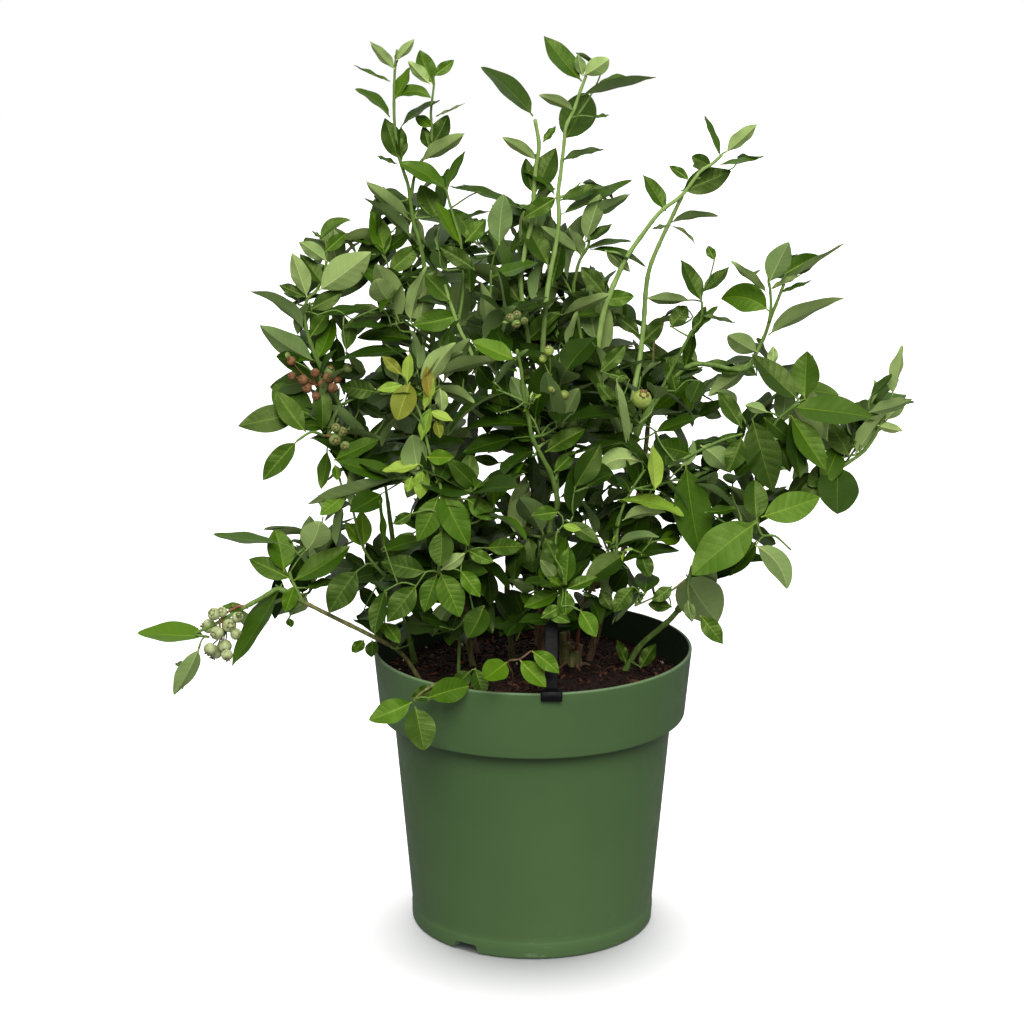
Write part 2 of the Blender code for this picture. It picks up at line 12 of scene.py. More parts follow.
import bmesh
import bpy
import numpy as np
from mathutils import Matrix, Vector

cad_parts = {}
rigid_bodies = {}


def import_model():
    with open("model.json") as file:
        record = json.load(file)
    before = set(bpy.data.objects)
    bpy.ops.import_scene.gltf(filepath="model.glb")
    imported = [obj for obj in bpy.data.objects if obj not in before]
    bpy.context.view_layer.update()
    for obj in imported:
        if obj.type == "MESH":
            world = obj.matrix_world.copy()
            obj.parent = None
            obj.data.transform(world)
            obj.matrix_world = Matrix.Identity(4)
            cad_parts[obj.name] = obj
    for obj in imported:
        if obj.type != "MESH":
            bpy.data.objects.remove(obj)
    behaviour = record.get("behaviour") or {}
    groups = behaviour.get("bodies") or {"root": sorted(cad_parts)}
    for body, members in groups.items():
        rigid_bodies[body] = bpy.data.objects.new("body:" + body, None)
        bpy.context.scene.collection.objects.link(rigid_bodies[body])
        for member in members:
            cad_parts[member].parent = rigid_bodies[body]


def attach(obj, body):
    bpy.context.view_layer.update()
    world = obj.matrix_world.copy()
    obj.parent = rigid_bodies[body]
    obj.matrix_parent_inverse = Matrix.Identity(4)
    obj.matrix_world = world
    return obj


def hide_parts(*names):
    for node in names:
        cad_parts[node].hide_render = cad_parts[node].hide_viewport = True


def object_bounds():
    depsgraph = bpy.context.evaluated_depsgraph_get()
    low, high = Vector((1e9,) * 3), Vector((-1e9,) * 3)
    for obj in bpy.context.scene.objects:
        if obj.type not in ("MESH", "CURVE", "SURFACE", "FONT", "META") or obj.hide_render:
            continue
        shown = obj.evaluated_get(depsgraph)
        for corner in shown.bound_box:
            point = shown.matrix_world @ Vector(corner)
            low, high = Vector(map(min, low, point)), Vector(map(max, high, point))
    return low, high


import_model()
CAD_BOX = [[float(x) for x in corner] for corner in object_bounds()]

# ---------------------------------------------------------------- camera
CAMERA_AT = np.array((-0.0146, -1.7553, 0.7381))
CAMERA_PITCH = math.radians(14.05)
FOCAL_PX = 2584.4
IMAGE_PX = 1024
AHEAD = np.array((0.0, math.cos(CAMERA_PITCH), -math.sin(CAMERA_PITCH)))
UPWARD = np.array((0.0, math.sin(CAMERA_PITCH), math.cos(CAMERA_PITCH)))
RIGHTWARD = np.array((1.0, 0.0, 0.0))

camera_data = bpy.data.cameras.new("camera")
camera = bpy.data.objects.new("camera", camera_data)
bpy.context.scene.collection.objects.link(camera)
camera.location = CAMERA_AT
camera.rotation_euler = (math.pi / 2 - CAMERA_PITCH, 0.0, 0.0)
camera_data.sensor_width = 36.0
camera_data.lens = FOCAL_PX * 36.0 / IMAGE_PX
camera_data.clip_start = 0.05
camera_data.clip_end = 50.0
bpy.context.scene.camera = camera


def project(points):
    """Picture place (u, v) and depth of points."""
    d = np.asarray(points, float) - CAMERA_AT
    depth = d @ AHEAD
    return 512 + FOCAL_PX * (d @ RIGHTWARD) / depth, 512 - FOCAL_PX * (d @ UPWARD) / depth, depth


def spot(u, v, y):
    """The point of the vertical plane at y that lies at the picture place (u, v)."""
    ray = AHEAD + RIGHTWARD * ((u - 512) / FOCAL_PX) + UPWARD * ((512 - v) / FOCAL_PX)
    return CAMERA_AT + ray * ((y - CAMERA_AT[1]) / ray[1])


def unit(a):
    a = np.asarray(a, float)
    return a / np.maximum(np.linalg.norm(a, axis=-1, keepdims=True), 1e-12)


rng = np.random.default_rng(20)


# ---------------------------------------------------------------- materials
def linear(r, g, b):
    """Scene colour of a display colour given as 0 to 255."""
    out = []
    for c in (r, g, b):
        c /= 255.0
        out.append(c / 12.92 if c <= 0.04045 else ((c + 0.055) / 1.055) ** 2.4)
    return (*out, 1.0)


class Nodes:
    """Short hand for building a material's nodes."""

    def __init__(self, name):
        self.mat = bpy.data.materials.new(name)
        self.mat.use_nodes = True
        self.tree = self.mat.node_tree
        self.shader = self.tree.nodes["Principled BSDF"]

    def add(self, kind, **settings):
        node = self.tree.nodes.new(kind)
        for key, value in settings.items():
            if key in node.inputs:
                node.inputs[key].default_value = value
            else:
                setattr(node, key, value)
        return node

    def link(self, a, b):
        self.tree.links.new(a, b)

    def coords(self):
        return self.add("ShaderNodeTexCoord").outputs["Object"]

    def noise(self, scale, detail=3.0, rough=0.55, vector=None):
        node = self.add("ShaderNodeTexNoise")
        node.inputs["Scale"].default_value = scale
        node.inputs["Detail"].default_value = detail
        node.inputs["Roughness"].default_value = rough
        self.link(vector if vector is not None else self.coords(), node.inputs["Vector"])
        return node.outputs["Fac"]

    def stretch(self, x, y, z):
        node = self.add("ShaderNodeMapping")
        node.inputs["Scale"].default_value = (x, y, z)
        self.link(self.coords(), node.inputs["Vector"])
        return node.outputs["Vector"]

    def spread(self, value, low, high, to_low=0.0, to_high=1.0):
        node = self.add("ShaderNodeMapRange")
        node.inputs["From Min"].default_value = low
        node.inputs["From Max"].default_value = high
        node.inputs["To Min"].default_value = to_low
        node.inputs["To Max"].default_value = to_high
        self.link(value, node.inputs["Value"])
        return node.outputs["Result"]

    def blend(self, value, stops):
        ramp = self.add("ShaderNodeValToRGB")
        bar = ramp.color_ramp
        while len(bar.elements) < len(stops):
            bar.elements.new(0.5)
        for element, (place, colour) in zip(bar.elements, stops):
            element.position = place
            element.color = colour
        self.link(value, ramp.inputs["Fac"])
        return ramp.outputs["Color"]

    def bump(self, height, distance, strength=1.0, after=None):
        node = self.add("ShaderNodeBump")
        node.inputs["Strength"].default_value = strength
        node.inputs["Distance"].default_value = distance
        self.link(height, node.inputs["Height"])
        if after is not None:
            self.link(after, node.inputs["Normal"])
        return node.outputs["Normal"]

    def set(self, **values):
        for key, value in values.items():
            self.shader.inputs[key.replace("_", " ")].default_value = value


def leaf_material(name, colour, rough_low, rough_high, shine=0.4, relief=0.00006, scale=900.0):
    """A leaf's surface: one plain colour, with the fine net of its veins and its gloss from nodes."""
    n = Nodes(name)
    n.set(Base_Color=colour, Specular_IOR_Level=shine, Specular_Tint=(0.75, 1.0, 0.30, 1.0))
    patch = n.noise(160.0, 2.0)
    n.link(n.spread(patch, 0.3, 0.7, rough_low, rough_high), n.shader.inputs["Roughness"])
    net = n.add("ShaderNodeTexVoronoi", feature="DISTANCE_TO_EDGE")
    net.inputs["Scale"].default_value = scale
    n.link(n.coords(), net.inputs["Vector"])
    n.link(n.bump(n.spread(net.outputs["Distance"], 0.0, 0.25), relief, 0.6), n.shader.inputs["Normal"])
    return n.mat


TONES = {
    # name: (lamina, side vein, midrib), each a display colour
    "d1": ((34, 66, 30), (44, 80, 38), (78, 118, 58)),
    "d2": ((41, 76, 34), (52, 90, 42), (86, 126, 62)),
    "d3": ((38, 72, 42), (50, 86, 52), (84, 122, 72)),
    # k: the darkest tones, for leaves deep in the crown: partly older leaves, partly painted shade
    "k1": ((24, 50, 20), (32, 62, 26), (54, 90, 40)),
    "k2": ((30, 58, 26), (38, 70, 32), (62, 100, 46)),
    "m1": ((52, 96, 36), (66, 112, 46), (104, 150, 70)),
    "m2": ((60, 108, 44), (74, 124, 54), (112, 158, 80)),
    "m3": ((56, 102, 52), (70, 118, 62), (108, 152, 86)),
    "b1": ((76, 134, 40), (92, 150, 54), (130, 178, 86)),
    "b2": ((88, 146, 48), (104, 160, 62), (142, 188, 96)),
    "b3": ((70, 126, 48), (86, 142, 60), (124, 170, 88)),
    "g1": ((84, 122, 76), (96, 136, 86), (126, 164, 108)),
    "g2": ((98, 138, 84), (110, 150, 94), (142, 178, 116)),
    "y1": ((140, 172, 72), (152, 184, 84), (172, 200, 108)),
    "y2": ((164, 188, 92), (172, 196, 104), (188, 208, 124)),
    "z1": ((112, 104, 42), (126, 112, 54), (150, 132, 74)),
    "z2": ((140, 112, 66), (150, 124, 76), (168, 146, 96)),
    "u1": ((108, 142, 92), (122, 156, 104), (150, 180, 124)),
    "u2": ((122, 156, 102), (136, 168, 114), (164, 192, 136)),
    "u3": ((96, 130, 84), (110, 144, 96), (140, 170, 116)),
    "p1": ((106, 140, 90), (120, 154, 102), (148, 178, 122)),
    "p2": ((116, 150, 98), (130, 162, 110), (158, 186, 130)),
}
GAIN = {  # what each family of tones is multiplied by
    "d": (0.78, 0.64, 0.11),
    "k": (0.96, 0.78, 0.16),
    "m": (0.80, 0.60, 0.12),
    "b": (0.60, 0.46, 0.09),
    "g": (2.50, 1.98, 1.44),
    "y": (0.65, 0.68, 0.42),
    "z": (0.74, 0.98, 0.44),
    "u": (1.64, 1.31, 1.07),
    "p": (2.80, 2.14, 1.80),
}
TONE_NAMES = list(TONES)
LEAF_MATERIALS = []
for tone, shades in TONES.items():
    under = tone[0] in "up"
    low, high = (0.48, 0.62) if under else ((0.34, 0.46) if tone[0] in "dmk" else (0.38, 0.50))
    lamina = np.array(linear(*shades[0])[:3])
    for part, shade, share in zip(("leaf", "vein", "rib"), shades, (1.0, 0.55, 0.8)):
        colour = (lamina + (np.array(linear(*shade)[:3]) - lamina) * share) * GAIN[tone[0]]
        LEAF_MATERIALS.append(
            leaf_material(f"{part} {tone}", (*colour.tolist(), 1.0), low, high, 0.20 if under else 0.42)
        )
TONE_SLOT = {tone: 3 * index for index, tone in enumerate(TONE_NAMES)}


# ---------------------------------------------------------------- meshes from arrays
class Soup:
    """Collects faces for one joined mesh."""

    def __init__(self):
        self.points, self.quads, self.quad_slots, self.tris, self.tri_slots = [], [], [], [], []
        self.count = 0

    def add(self, points, quads=None, quad_slots=None, tris=None, tri_slots=None):
        points = np.asarray(points, float).reshape(-1, 3)
        if quads is not None and len(quads):
            quads = np.asarray(quads, int)
            self.quads.append(quads + self.count)
            self.quad_slots.append(np.broadcast_to(np.asarray(quad_slots if quad_slots is not None else 0), (len(quads),)))
        if tris is not None and len(tris):
            tris = np.asarray(tris, int)
            self.tris.append(tris + self.count)
            self.tri_slots.append(np.broadcast_to(np.asarray(tri_slots if tri_slots is not None else 0), (len(tris),)))
        self.points.append(points)
        self.count += len(points)

    def build(self, name, materials, smooth=True):
        points = np.concatenate(self.points)
        quads = np.concatenate(self.quads) if self.quads else np.zeros((0, 4), int)
        tris = np.concatenate(self.tris) if self.tris else np.zeros((0, 3), int)
        slots = np.concatenate([*self.quad_slots, *self.tri_slots]).astype(np.int32)
        loops = np.concatenate([quads.ravel(), tris.ravel()]).astype(np.int32)
        starts = np.concatenate([np.arange(len(quads)) * 4, 4 * len(quads) + np.arange(len(tris)) * 3]).astype(np.int32)
        used = np.unique(slots)
        renumber = np.zeros(used.max() + 1, np.int32)
        renumber[used] = np.arange(len(used))
        mesh = bpy.data.meshes.new(name)
        mesh.vertices.add(len(points))
        mesh.vertices.foreach_set("co", points.astype(np.float32).ravel())
        mesh.loops.add(len(loops))
        mesh.loops.foreach_set("vertex_index", loops)
        mesh.polygons.add(len(starts))
        mesh.polygons.foreach_set("loop_start", starts)
        for index in used:
            mesh.materials.append(materials[index])
        mesh.polygons.foreach_set("material_index", renumber[slots])
        mesh.polygons.foreach_set("use_smooth", np.full(len(starts), smooth))
        mesh.update(calc_edges=True)
        obj = bpy.data.objects.new(name, mesh)
        bpy.context.scene.collection.objects.link(obj)
        return obj


def smooth_path(points, step):
    """Points of a Catmull-Rom curve through the given ones, about a step apart."""
    points = np.asarray(points, float)
    if len(points) == 2:
        count = max(2, int(np.linalg.norm(points[1] - points[0]) / step) + 1)
        return points[0] + (points[1] - points[0]) * np.linspace(0, 1, count)[:, None]
    padded = np.vstack([points[0] * 2 - points[1], points, points[-1] * 2 - points[-2]])
    out = []
    for i in range(1, len(padded) - 2):
        p0, p1, p2, p3 = padded[i - 1 : i + 3]
        count = max(1, int(round(np.linalg.norm(p2 - p1) / step)))
        t = (np.arange(count) / count)[:, None]
        out.append(
            0.5
            * (
                p1 * 2
                + (p2 - p0) * t
                + (p0 * 2 - p1 * 5 + p2 * 4 - p3) * t**2
                + (p1 * 3 - p0 - p2 * 3 + p3) * t**3
            )
        )
    out.append(points[-1:])
    return np.vstack(out)


def frames_along(path):
    """Tangents and two cross directions along a path, with no sudden twist."""
    tangents = unit(np.gradient(path, axis=0))
    first = np.cross(tangents[0], (0.0, 1.0, 0.0))
    if np.linalg.norm(first) < 0.1:
        first = np.cross(tangents[0], (1.0, 0.0, 0.0))
    side = unit(first)
    sides = []
    for tangent in tangents:
        side = unit(side - tangent * (side @ tangent))
        sides.append(side)
    sides = np.array(sides)
    return tangents, sides, np.cross(tangents, sides)


def tube(soup, path, radii, sides=6, slot=0, relief=None, round_end=True):
    """A closed tube along a path. relief gives a factor on the radius for (row, side)."""
    path = np.asarray(path, float)
    rows = len(path)
    radii = np.broadcast_to(np.asarray(radii, float), (rows,))
    tangents, a, b = frames_along(path)
    turn = np.arange(sides) * math.tau / sides
    ring = np.cos(turn)[None, :, None] * a[:, None] + np.sin(turn)[None, :, None] * b[:, None]
    scale = radii[:, None] * (relief if relief is not None else 1.0)
    points = path[:, None] + ring * scale[..., None]
    flat = points.reshape(-1, 3)
    i, j = np.meshgrid(np.arange(rows - 1), np.arange(sides), indexing="ij")
    k = (j + 1) % sides
    quads = np.stack([i * sides + j, i * sides + k, (i + 1) * sides + k, (i + 1) * sides + j], -1).reshape(-1, 4)
    ends = np.stack([path[0] - tangents[0] * radii[0] * 0.3, path[-1] + tangents[-1] * radii[-1] * (0.8 if round_end else 0.1)])
    n = rows * sides
    j = np.arange(sides)
    k = (j + 1) % sides
    tris = np.concatenate(
        [
            np.stack([np.full(sides, n), k, j], -1),
            np.stack([np.full(sides, n + 1), (rows - 1) * sides + j, (rows - 1) * sides + k], -1),
        ]
    )
    soup.add(np.vstack([flat, ends]), quads, slot, tris, slot)


def stand_for(obj, slot, *nodes):
    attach(obj, "root")
    if nodes:
        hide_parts(*nodes)
    return obj


# ---------------------------------------------------------------- pot
POT_HEIGHT = 0.202
RIM_RADIUS = 0.1128
BAND_RADIUS = 0.1082
BAND_FOOT = POT_HEIGHT - 0.048
WALL = 0.0026
BASE_RADIUS = 0.0871
RING_HEIGHT = 0.0105
RING_STEP = 0.0006


def wall_radius(height):
    share = (height - RING_HEIGHT) / (BAND_FOOT - RING_HEIGHT)
    foot = BASE_RADIUS - RING_STEP
    return foot + share * (BAND_RADIUS - 0.0092 - foot)


def band_radius(height):
    return BAND_RADIUS + (RIM_RADIUS - BAND_RADIUS) * (height - BAND_FOOT) / (POT_HEIGHT - BAND_FOOT)


def arc(centre, radius, start, end, count):
    """Points of (radius, height) round a small arc, its angles in degrees."""
    return [
        (centre[0] + radius * math.cos(math.radians(a)), centre[1] + radius * math.sin(math.radians(a)))
        for a in np.linspace(start, end, count)
    ]


def pot_profile():
    h = POT_HEIGHT
    outer = []
    lip = 0.0011
    outer += [(RIM_RADIUS - WALL + 0.0002, h - 0.0010)]
    outer += arc((RIM_RADIUS - WALL + 0.0010, h - 0.0008), 0.0008, 165, 95, 4)
    outer += arc((RIM_RADIUS - lip, h - lip), lip, 85, 0, 6)
    for z in (0.1955, 0.1900, 0.1840, 0.1760, 0.1680, 0.1610):
        outer.append((band_radius(z), z))
    outer += arc((band_radius(BAND_FOOT + 0.0016) - 0.0016, BAND_FOOT + 0.0016), 0.0016, -5, -85, 6)
    outer += [(band_radius(BAND_FOOT) - 0.0040, BAND_FOOT), (wall_radius(BAND_FOOT) + 0.0016, BAND_FOOT)]
    outer += arc((wall_radius(BAND_FOOT) + 0.0014, BAND_FOOT - 0.0014), 0.0014, 95, 175, 5)
    for z in np.linspace(0.146, 0.016, 14):
        outer.append((wall_radius(z), z))
    outer += [
        (wall_radius(RING_HEIGHT + 0.0014), RING_HEIGHT + 0.0014),
        (BASE_RADIUS - 0.00025, RING_HEIGHT + 0.0005),
        (BASE_RADIUS, RING_HEIGHT - 0.0002),
        (BASE_RADIUS - 0.0001, 0.0060),
    ]
    outer += arc((BASE_RADIUS - 0.0014, 0.0014), 0.0013, -5, -85, 5)
    outer += [(BASE_RADIUS - 0.0030, 0.0), (BASE_RADIUS - 0.0060, 0.0), (BASE_RADIUS - 0.0085, 0.0004), (BASE_RADIUS - 0.0100, 0.0016), (0.0400, 0.0016), (0.0, 0.0016)]
    inner = [(0.0, 0.0040), (0.0600, 0.0040), (BASE_RADIUS - RING_STEP - WALL - 0.0010, 0.0040)]
    for z in np.linspace(0.016, 0.150, 8):
        inner.append((wall_radius(z) - WALL, z))
    inner += [(wall_radius(BAND_FOOT) - WALL, BAND_FOOT + 0.0022), (BAND_RADIUS - WALL, BAND_FOOT + 0.0048)]
    for z in (0.164, 0.176, 0.188, 0.196):
        inner.append((band_radius(z) - WALL, z))
    return outer + inner


POT_STEPS = 192


def build_pot():
    profile = pot_profile()
    bm = bmesh.new()
    rings = []
    for radius, height in profile:
        if radius == 0.0:
            rings.append([bm.verts.new((0, 0, height))])
            continue
        rings.append(
            [
                bm.verts.new((radius * math.cos(i * math.tau / POT_STEPS), radius * math.sin(i * math.tau / POT_STEPS), height))
                for i in range(POT_STEPS)
            ]
        )
    loop = list(range(len(rings))) + [0]
    for a, b in zip(loop, loop[1:]):
        first, second = rings[a], rings[b]
        if len(first) == 1 and len(second) == 1:
            continue
        for i in range(POT_STEPS):
            j = (i + 1) % POT_STEPS
            if len(first) == 1:
                bm.faces.new((first[0], second[i], second[j]))
            elif len(second) == 1:
                bm.faces.new((first[i], second[0], first[j]))
            else:
                bm.faces.new((first[i], second[i], second[j], first[j]))
    bmesh.ops.recalc_face_normals(bm, faces=bm.faces)
    mesh = bpy.data.meshes.new("pot_shell")
    bm.to_mesh(mesh)
    bm.free()
    pot = bpy.data.objects.new("pot_shell", mesh)
    bpy.context.scene.collection.objects.link(pot)
    cutters = []
    for index in range(3):
        angle = math.radians(-123.0) + index * math.tau / 3
        bm = bmesh.new()
        outline = [(-0.0112, -0.002), (0.0112, -0.002), (0.0110, 0.0), (0.0086, 0.0052), (0.0078, 0.0060), (-0.0078, 0.0060), (-0.0086, 0.0052), (-0.0110, 0.0)]
        near = [bm.verts.new((BASE_RADIUS - 0.0140, y, z)) for y, z in outline]
        far = [bm.verts.new((BASE_RADIUS + 0.0060, y, z)) for y, z in outline]
        bm.faces.new(near)
        bm.faces.new(far[::-1])
        for i in range(len(outline)):
            j = (i + 1) % len(outline)
            bm.faces.new((near[i], far[i], far[j], near[j]))
        bmesh.ops.recalc_face_normals(bm, faces=bm.faces)
        bmesh.ops.triangulate(bm, faces=bm.faces)
        cutter_mesh = bpy.data.meshes.new(f"notch {index}")
        bm.to_mesh(cutter_mesh)
        bm.free()
        cutter = bpy.data.objects.new(f"notch {index}", cutter_mesh)
        cutter.rotation_euler = (0, 0, angle)
        bpy.context.scene.collection.objects.link(cutter)
        cutters.append(cutter)
        modifier = pot.modifiers.new("notch", "BOOLEAN")
        modifier.operation = "DIFFERENCE"
        modifier.object = cutter
    bpy.context.view_layer.update()
    done = bpy.data.meshes.new_from_object(pot.evaluated_get(bpy.context.evaluated_depsgraph_get()))
    pot.modifiers.clear()
    pot.data = done
    for cutter in cutters:
        bpy.data.objects.remove(cutter, do_unlink=True)
    done.name = "pot_shell"
    done.shade_smooth()
    done.set_sharp_from_angle(angle=math.radians(38))
    return pot


def pot_material():
    n = Nodes("pot moulded plastic")
    split = n.add("ShaderNodeSeparateXYZ")
    n.link(n.coords(), split.inputs[0])
    height = split.outputs["Z"]
    broad = n.noise(9.0, 3.0, 0.5)
    fine = n.noise(70.0, 4.0, 0.6)
    green = n.blend(
        n.spread(broad, 0.25, 0.75),
        [(0.0, linear(67, 92, 55)), (0.5, linear(71, 97, 58)), (1.0, linear(76, 102, 62))],
    )
    # Scuffs: thin pale strokes low on the wall and on the base ring, and fine specks of soil dust all over.
    stroke = n.noise(38.0, 5.0, 0.7, n.stretch(1.0, 1.0, 5.0))
    stroke = n.spread(stroke, 0.63, 0.70)
    low = n.spread(height, 0.030, 0.004)
    worn = n.add("ShaderNodeMath", operation="MULTIPLY")
    n.link(stroke, worn.inputs[0])
    n.link(low, worn.inputs[1])
    weak = n.add("ShaderNodeMath", operation="MULTIPLY")
    n.link(worn.outputs[0], weak.inputs[0])
    weak.inputs[1].default_value = 0.45
    scuffed = n.add("ShaderNodeMix", data_type="RGBA")
    n.link(weak.outputs[0], scuffed.inputs[0])
    n.link(green, scuffed.inputs[6])
    scuffed.inputs[7].default_value = linear(134, 152, 122)
    speck = n.spread(n.noise(420.0, 2.0, 0.5), 0.70, 0.76)
    dusty = n.add("ShaderNodeMath", operation="MULTIPLY")
    n.link(speck, dusty.inputs[0])
    dusty.inputs[1].default_value = 0.25
    speckled = n.add("ShaderNodeMix", data_type="RGBA")
    n.link(dusty.outputs[0], speckled.inputs[0])
    n.link(scuffed.outputs[2], speckled.inputs[6])
    speckled.inputs[7].default_value = linear(88, 92, 70)
    edge = n.spread(height, POT_HEIGHT - 0.0016, POT_HEIGHT - 0.0004, 0.0, 0.5)  # painted highlight: the rim's top edge is paler, for the light it catches
    painted_rim_highlight = n.add("ShaderNodeMix", data_type="RGBA")
    n.link(edge, painted_rim_highlight.inputs[0])
    n.link(speckled.outputs[2], painted_rim_highlight.inputs[6])
    painted_rim_highlight.inputs[7].default_value = linear(122, 146, 108)
    n.link(painted_rim_highlight.outputs[2], n.shader.inputs["Base Color"])
    n.link(n.spread(fine, 0.3, 0.7, 0.36, 0.50), n.shader.inputs["Roughness"])
    grain = n.bump(n.noise(1400.0, 2.0, 0.6), 0.00005, 0.5)
    drawn = n.bump(n.noise(60.0, 3.0, 0.6, n.stretch(1.0, 1.0, 0.12)), 0.00016, 0.6, grain)
    n.link(drawn, n.shader.inputs["Normal"])
    n.set(Specular_IOR_Level=0.20)
    return n.mat


pot = build_pot()
pot.data.materials.clear()
pot.data.materials.append(pot_material())
# Painted shade: the inner wall above the mix gets a darker green than the pot, for the shade that falls inside it.
inside = Nodes("pot inside, painted shade")
inside.set(Base_Color=(*linear(34, 47, 28)[:3], 1.0), Roughness=0.55, Specular_IOR_Level=0.15)
pot.data.materials.append(inside.mat)
for face in pot.data.polygons:
    middle_of_face = face.center
    if middle_of_face.z > 0.150 and face.normal.x * middle_of_face.x + face.normal.y * middle_of_face.y < -0.5 * math.hypot(middle_of_face.x, middle_of_face.y):
        face.material_index = 1
stand_for(pot, "pot_plastic", "pot")


# ---------------------------------------------------------------- potting mix
SOIL_EDGE, SOIL_CENTRE = 0.1795, 0.1865


def soil_height(radius):
    share = np.minimum(1.0, np.asarray(radius) / 0.099)
    return SOIL_CENTRE + (SOIL_EDGE - SOIL_CENTRE) * share**2


def value_noise(x, y, cell, seed):
    """Smooth seeded noise of -1 to 1 over a plane."""
    gen = np.random.default_rng(seed)
    table = gen.uniform(-1, 1, (64, 64))
    gx, gy = np.asarray(x) / cell + 31.0, np.asarray(y) / cell + 17.0
    ix, iy = np.floor(gx).astype(int), np.floor(gy).astype(int)
    fx, fy = gx - ix, gy - iy
    fx, fy = fx * fx * (3 - 2 * fx), fy * fy * (3 - 2 * fy)
    a, b = table[ix % 64, iy % 64], table[(ix + 1) % 64, iy % 64]
    c, d = table[ix % 64, (iy + 1) % 64], table[(ix + 1) % 64, (iy + 1) % 64]
    return (a * (1 - fx) + b * fx) * (1 - fy) + (c * (1 - fx) + d * fx) * fy


def soil_surface(x, y):
    radius = np.hypot(x, y)
    lumps = 0.0016 * value_noise(x, y, 0.014, 3) + 0.0009 * value_noise(x, y, 0.006, 4) + 0.0005 * value_noise(x, y, 0.0025, 5)
    return soil_height(radius) + lumps - 0.0012


def build_mix():
    soup = Soup()
    rings, around = 58, 168
    edge = band_radius(0.178) - WALL - 0.0006
    radii = edge * (np.arange(1, rings + 1) / rings) ** 0.85
    turn = np.arange(around) * math.tau / around
    r, t = np.meshgrid(radii, turn, indexing="ij")
    x, y = r * np.cos(t), r * np.sin(t)
    top = np.stack([x, y, soil_surface(x, y)], -1).reshape(-1, 3)
    down = [(edge, 0.168), (BAND_RADIUS - WALL - 0.0010, BAND_FOOT + 0.0066), (wall_radius(BAND_FOOT) - WALL - 0.0010, BAND_FOOT + 0.0032), (wall_radius(0.020) - WALL - 0.0010, 0.020), (0.069, 0.0046)]
    side = np.array([[(radius * math.cos(a), radius * math.sin(a), z) for a in turn] for radius, z in down]).reshape(-1, 3)
    points = np.vstack([top, side, [[0, 0, float(soil_surface(0.0, 0.0))], [0, 0, 0.0046]]])
    rows = rings + len(down)
    i, j = np.meshgrid(np.arange(rows - 1), np.arange(around), indexing="ij")
    k = (j + 1) % around
    quads = np.stack([i * around + j, (i + 1) * around + j, (i + 1) * around + k, i * around + k], -1).reshape(-1, 4)
    j = np.arange(around)
    k = (j + 1) % around
    n = rows * around
    tris = np.concatenate([np.stack([np.full(around, n), j, k], -1), np.stack([np.full(around, n + 1), (rows - 1) * around + k, (rows - 1) * around + j], -1)])
    soup.add(points, quads, 0, tris, 0)
    # Crumbs, chips of bark and a few pale grains, each a small uneven lump sunk part way in.
    gen = np.random.default_rng(41)
    base = np.array([(1, 0, 0), (-1, 0, 0), (0, 1, 0), (0, -1, 0), (0, 0, 1), (0, 0, -1), (0.7, 0.7, 0.45), (-0.7, 0.7, -0.3), (-0.7, -0.7, 0.4), (0.7, -0.7, -0.35)], float)
    hull = bmesh.new()
    for p in base:
        hull.verts.new(p)
    bmesh.ops.convex_hull(hull, input=hull.verts)
    bmesh.ops.triangulate(hull, faces=hull.faces)
    hull.verts.index_update()
    lump_points = np.array([v.co[:] for v in hull.verts])
    lump_faces = np.array([[v.index for v in f.verts] for f in hull.faces])
    hull.free()
    for index in range(3600):
        radius = (edge - 0.002) * math.sqrt(gen.uniform(0, 1))
        angle = gen.uniform(0, math.tau)
        x, y = radius * math.cos(angle), radius * math.sin(angle)
        kind = gen.uniform()
        if kind < 0.84:  # crumb
            size = gen.uniform(0.0005, 0.0021) * np.array([1.0, gen.uniform(0.6, 1.0), gen.uniform(0.5, 0.9)])
            slot = 0 if gen.uniform() < 0.72 else 1
        elif kind < 0.992:  # bark chip or fibre
            size = np.array([gen.uniform(0.0018, 0.0062), gen.uniform(0.0006, 0.0020), gen.uniform(0.0003, 0.0007)])
            slot = 2 if gen.uniform() < 0.75 else 3
        else:
            size = gen.uniform(0.0006, 0.0019) * np.ones(3)
            slot = 4
        lump = lump_points * gen.uniform(0.75, 1.2, (len(lump_points), 1)) * size
        a, b, c = gen.uniform(0, math.tau), gen.normal(0, 0.38), gen.normal(0, 0.38)
        ca, sa = math.cos(a), math.sin(a)
        turn_z = np.array([[ca, -sa, 0], [sa, ca, 0], [0, 0, 1]])
        turn_x = np.array([[1, 0, 0], [0, math.cos(b), -math.sin(b)], [0, math.sin(b), math.cos(b)]])
        turn_y = np.array([[math.cos(c), 0, math.sin(c)], [0, 1, 0], [-math.sin(c), 0, math.cos(c)]])
        lump = lump @ (turn_z @ turn_x @ turn_y).T
        z = float(soil_surface(x, y)) + size[2] * gen.uniform(0.0, 0.8)
        soup.add(lump + (x, y, z), None, None, lump_faces, slot)
    return soup


def mix_material(name, stops, rough=(0.82, 0.98), scale=300.0, shine=0.15):
    n = Nodes(name)
    n.link(n.blend(n.spread(n.noise(scale, 4.0, 0.65), 0.28, 0.72), stops), n.shader.inputs["Base Color"])
    n.link(n.spread(n.noise(scale * 2.0, 2.0), 0.3, 0.7, *rough), n.shader.inputs["Roughness"])
    n.link(n.bump(n.noise(scale * 3.0, 3.0, 0.6), 0.0004, 0.8), n.shader.inputs["Normal"])
    n.set(Specular_IOR_Level=shine)
    return n.mat


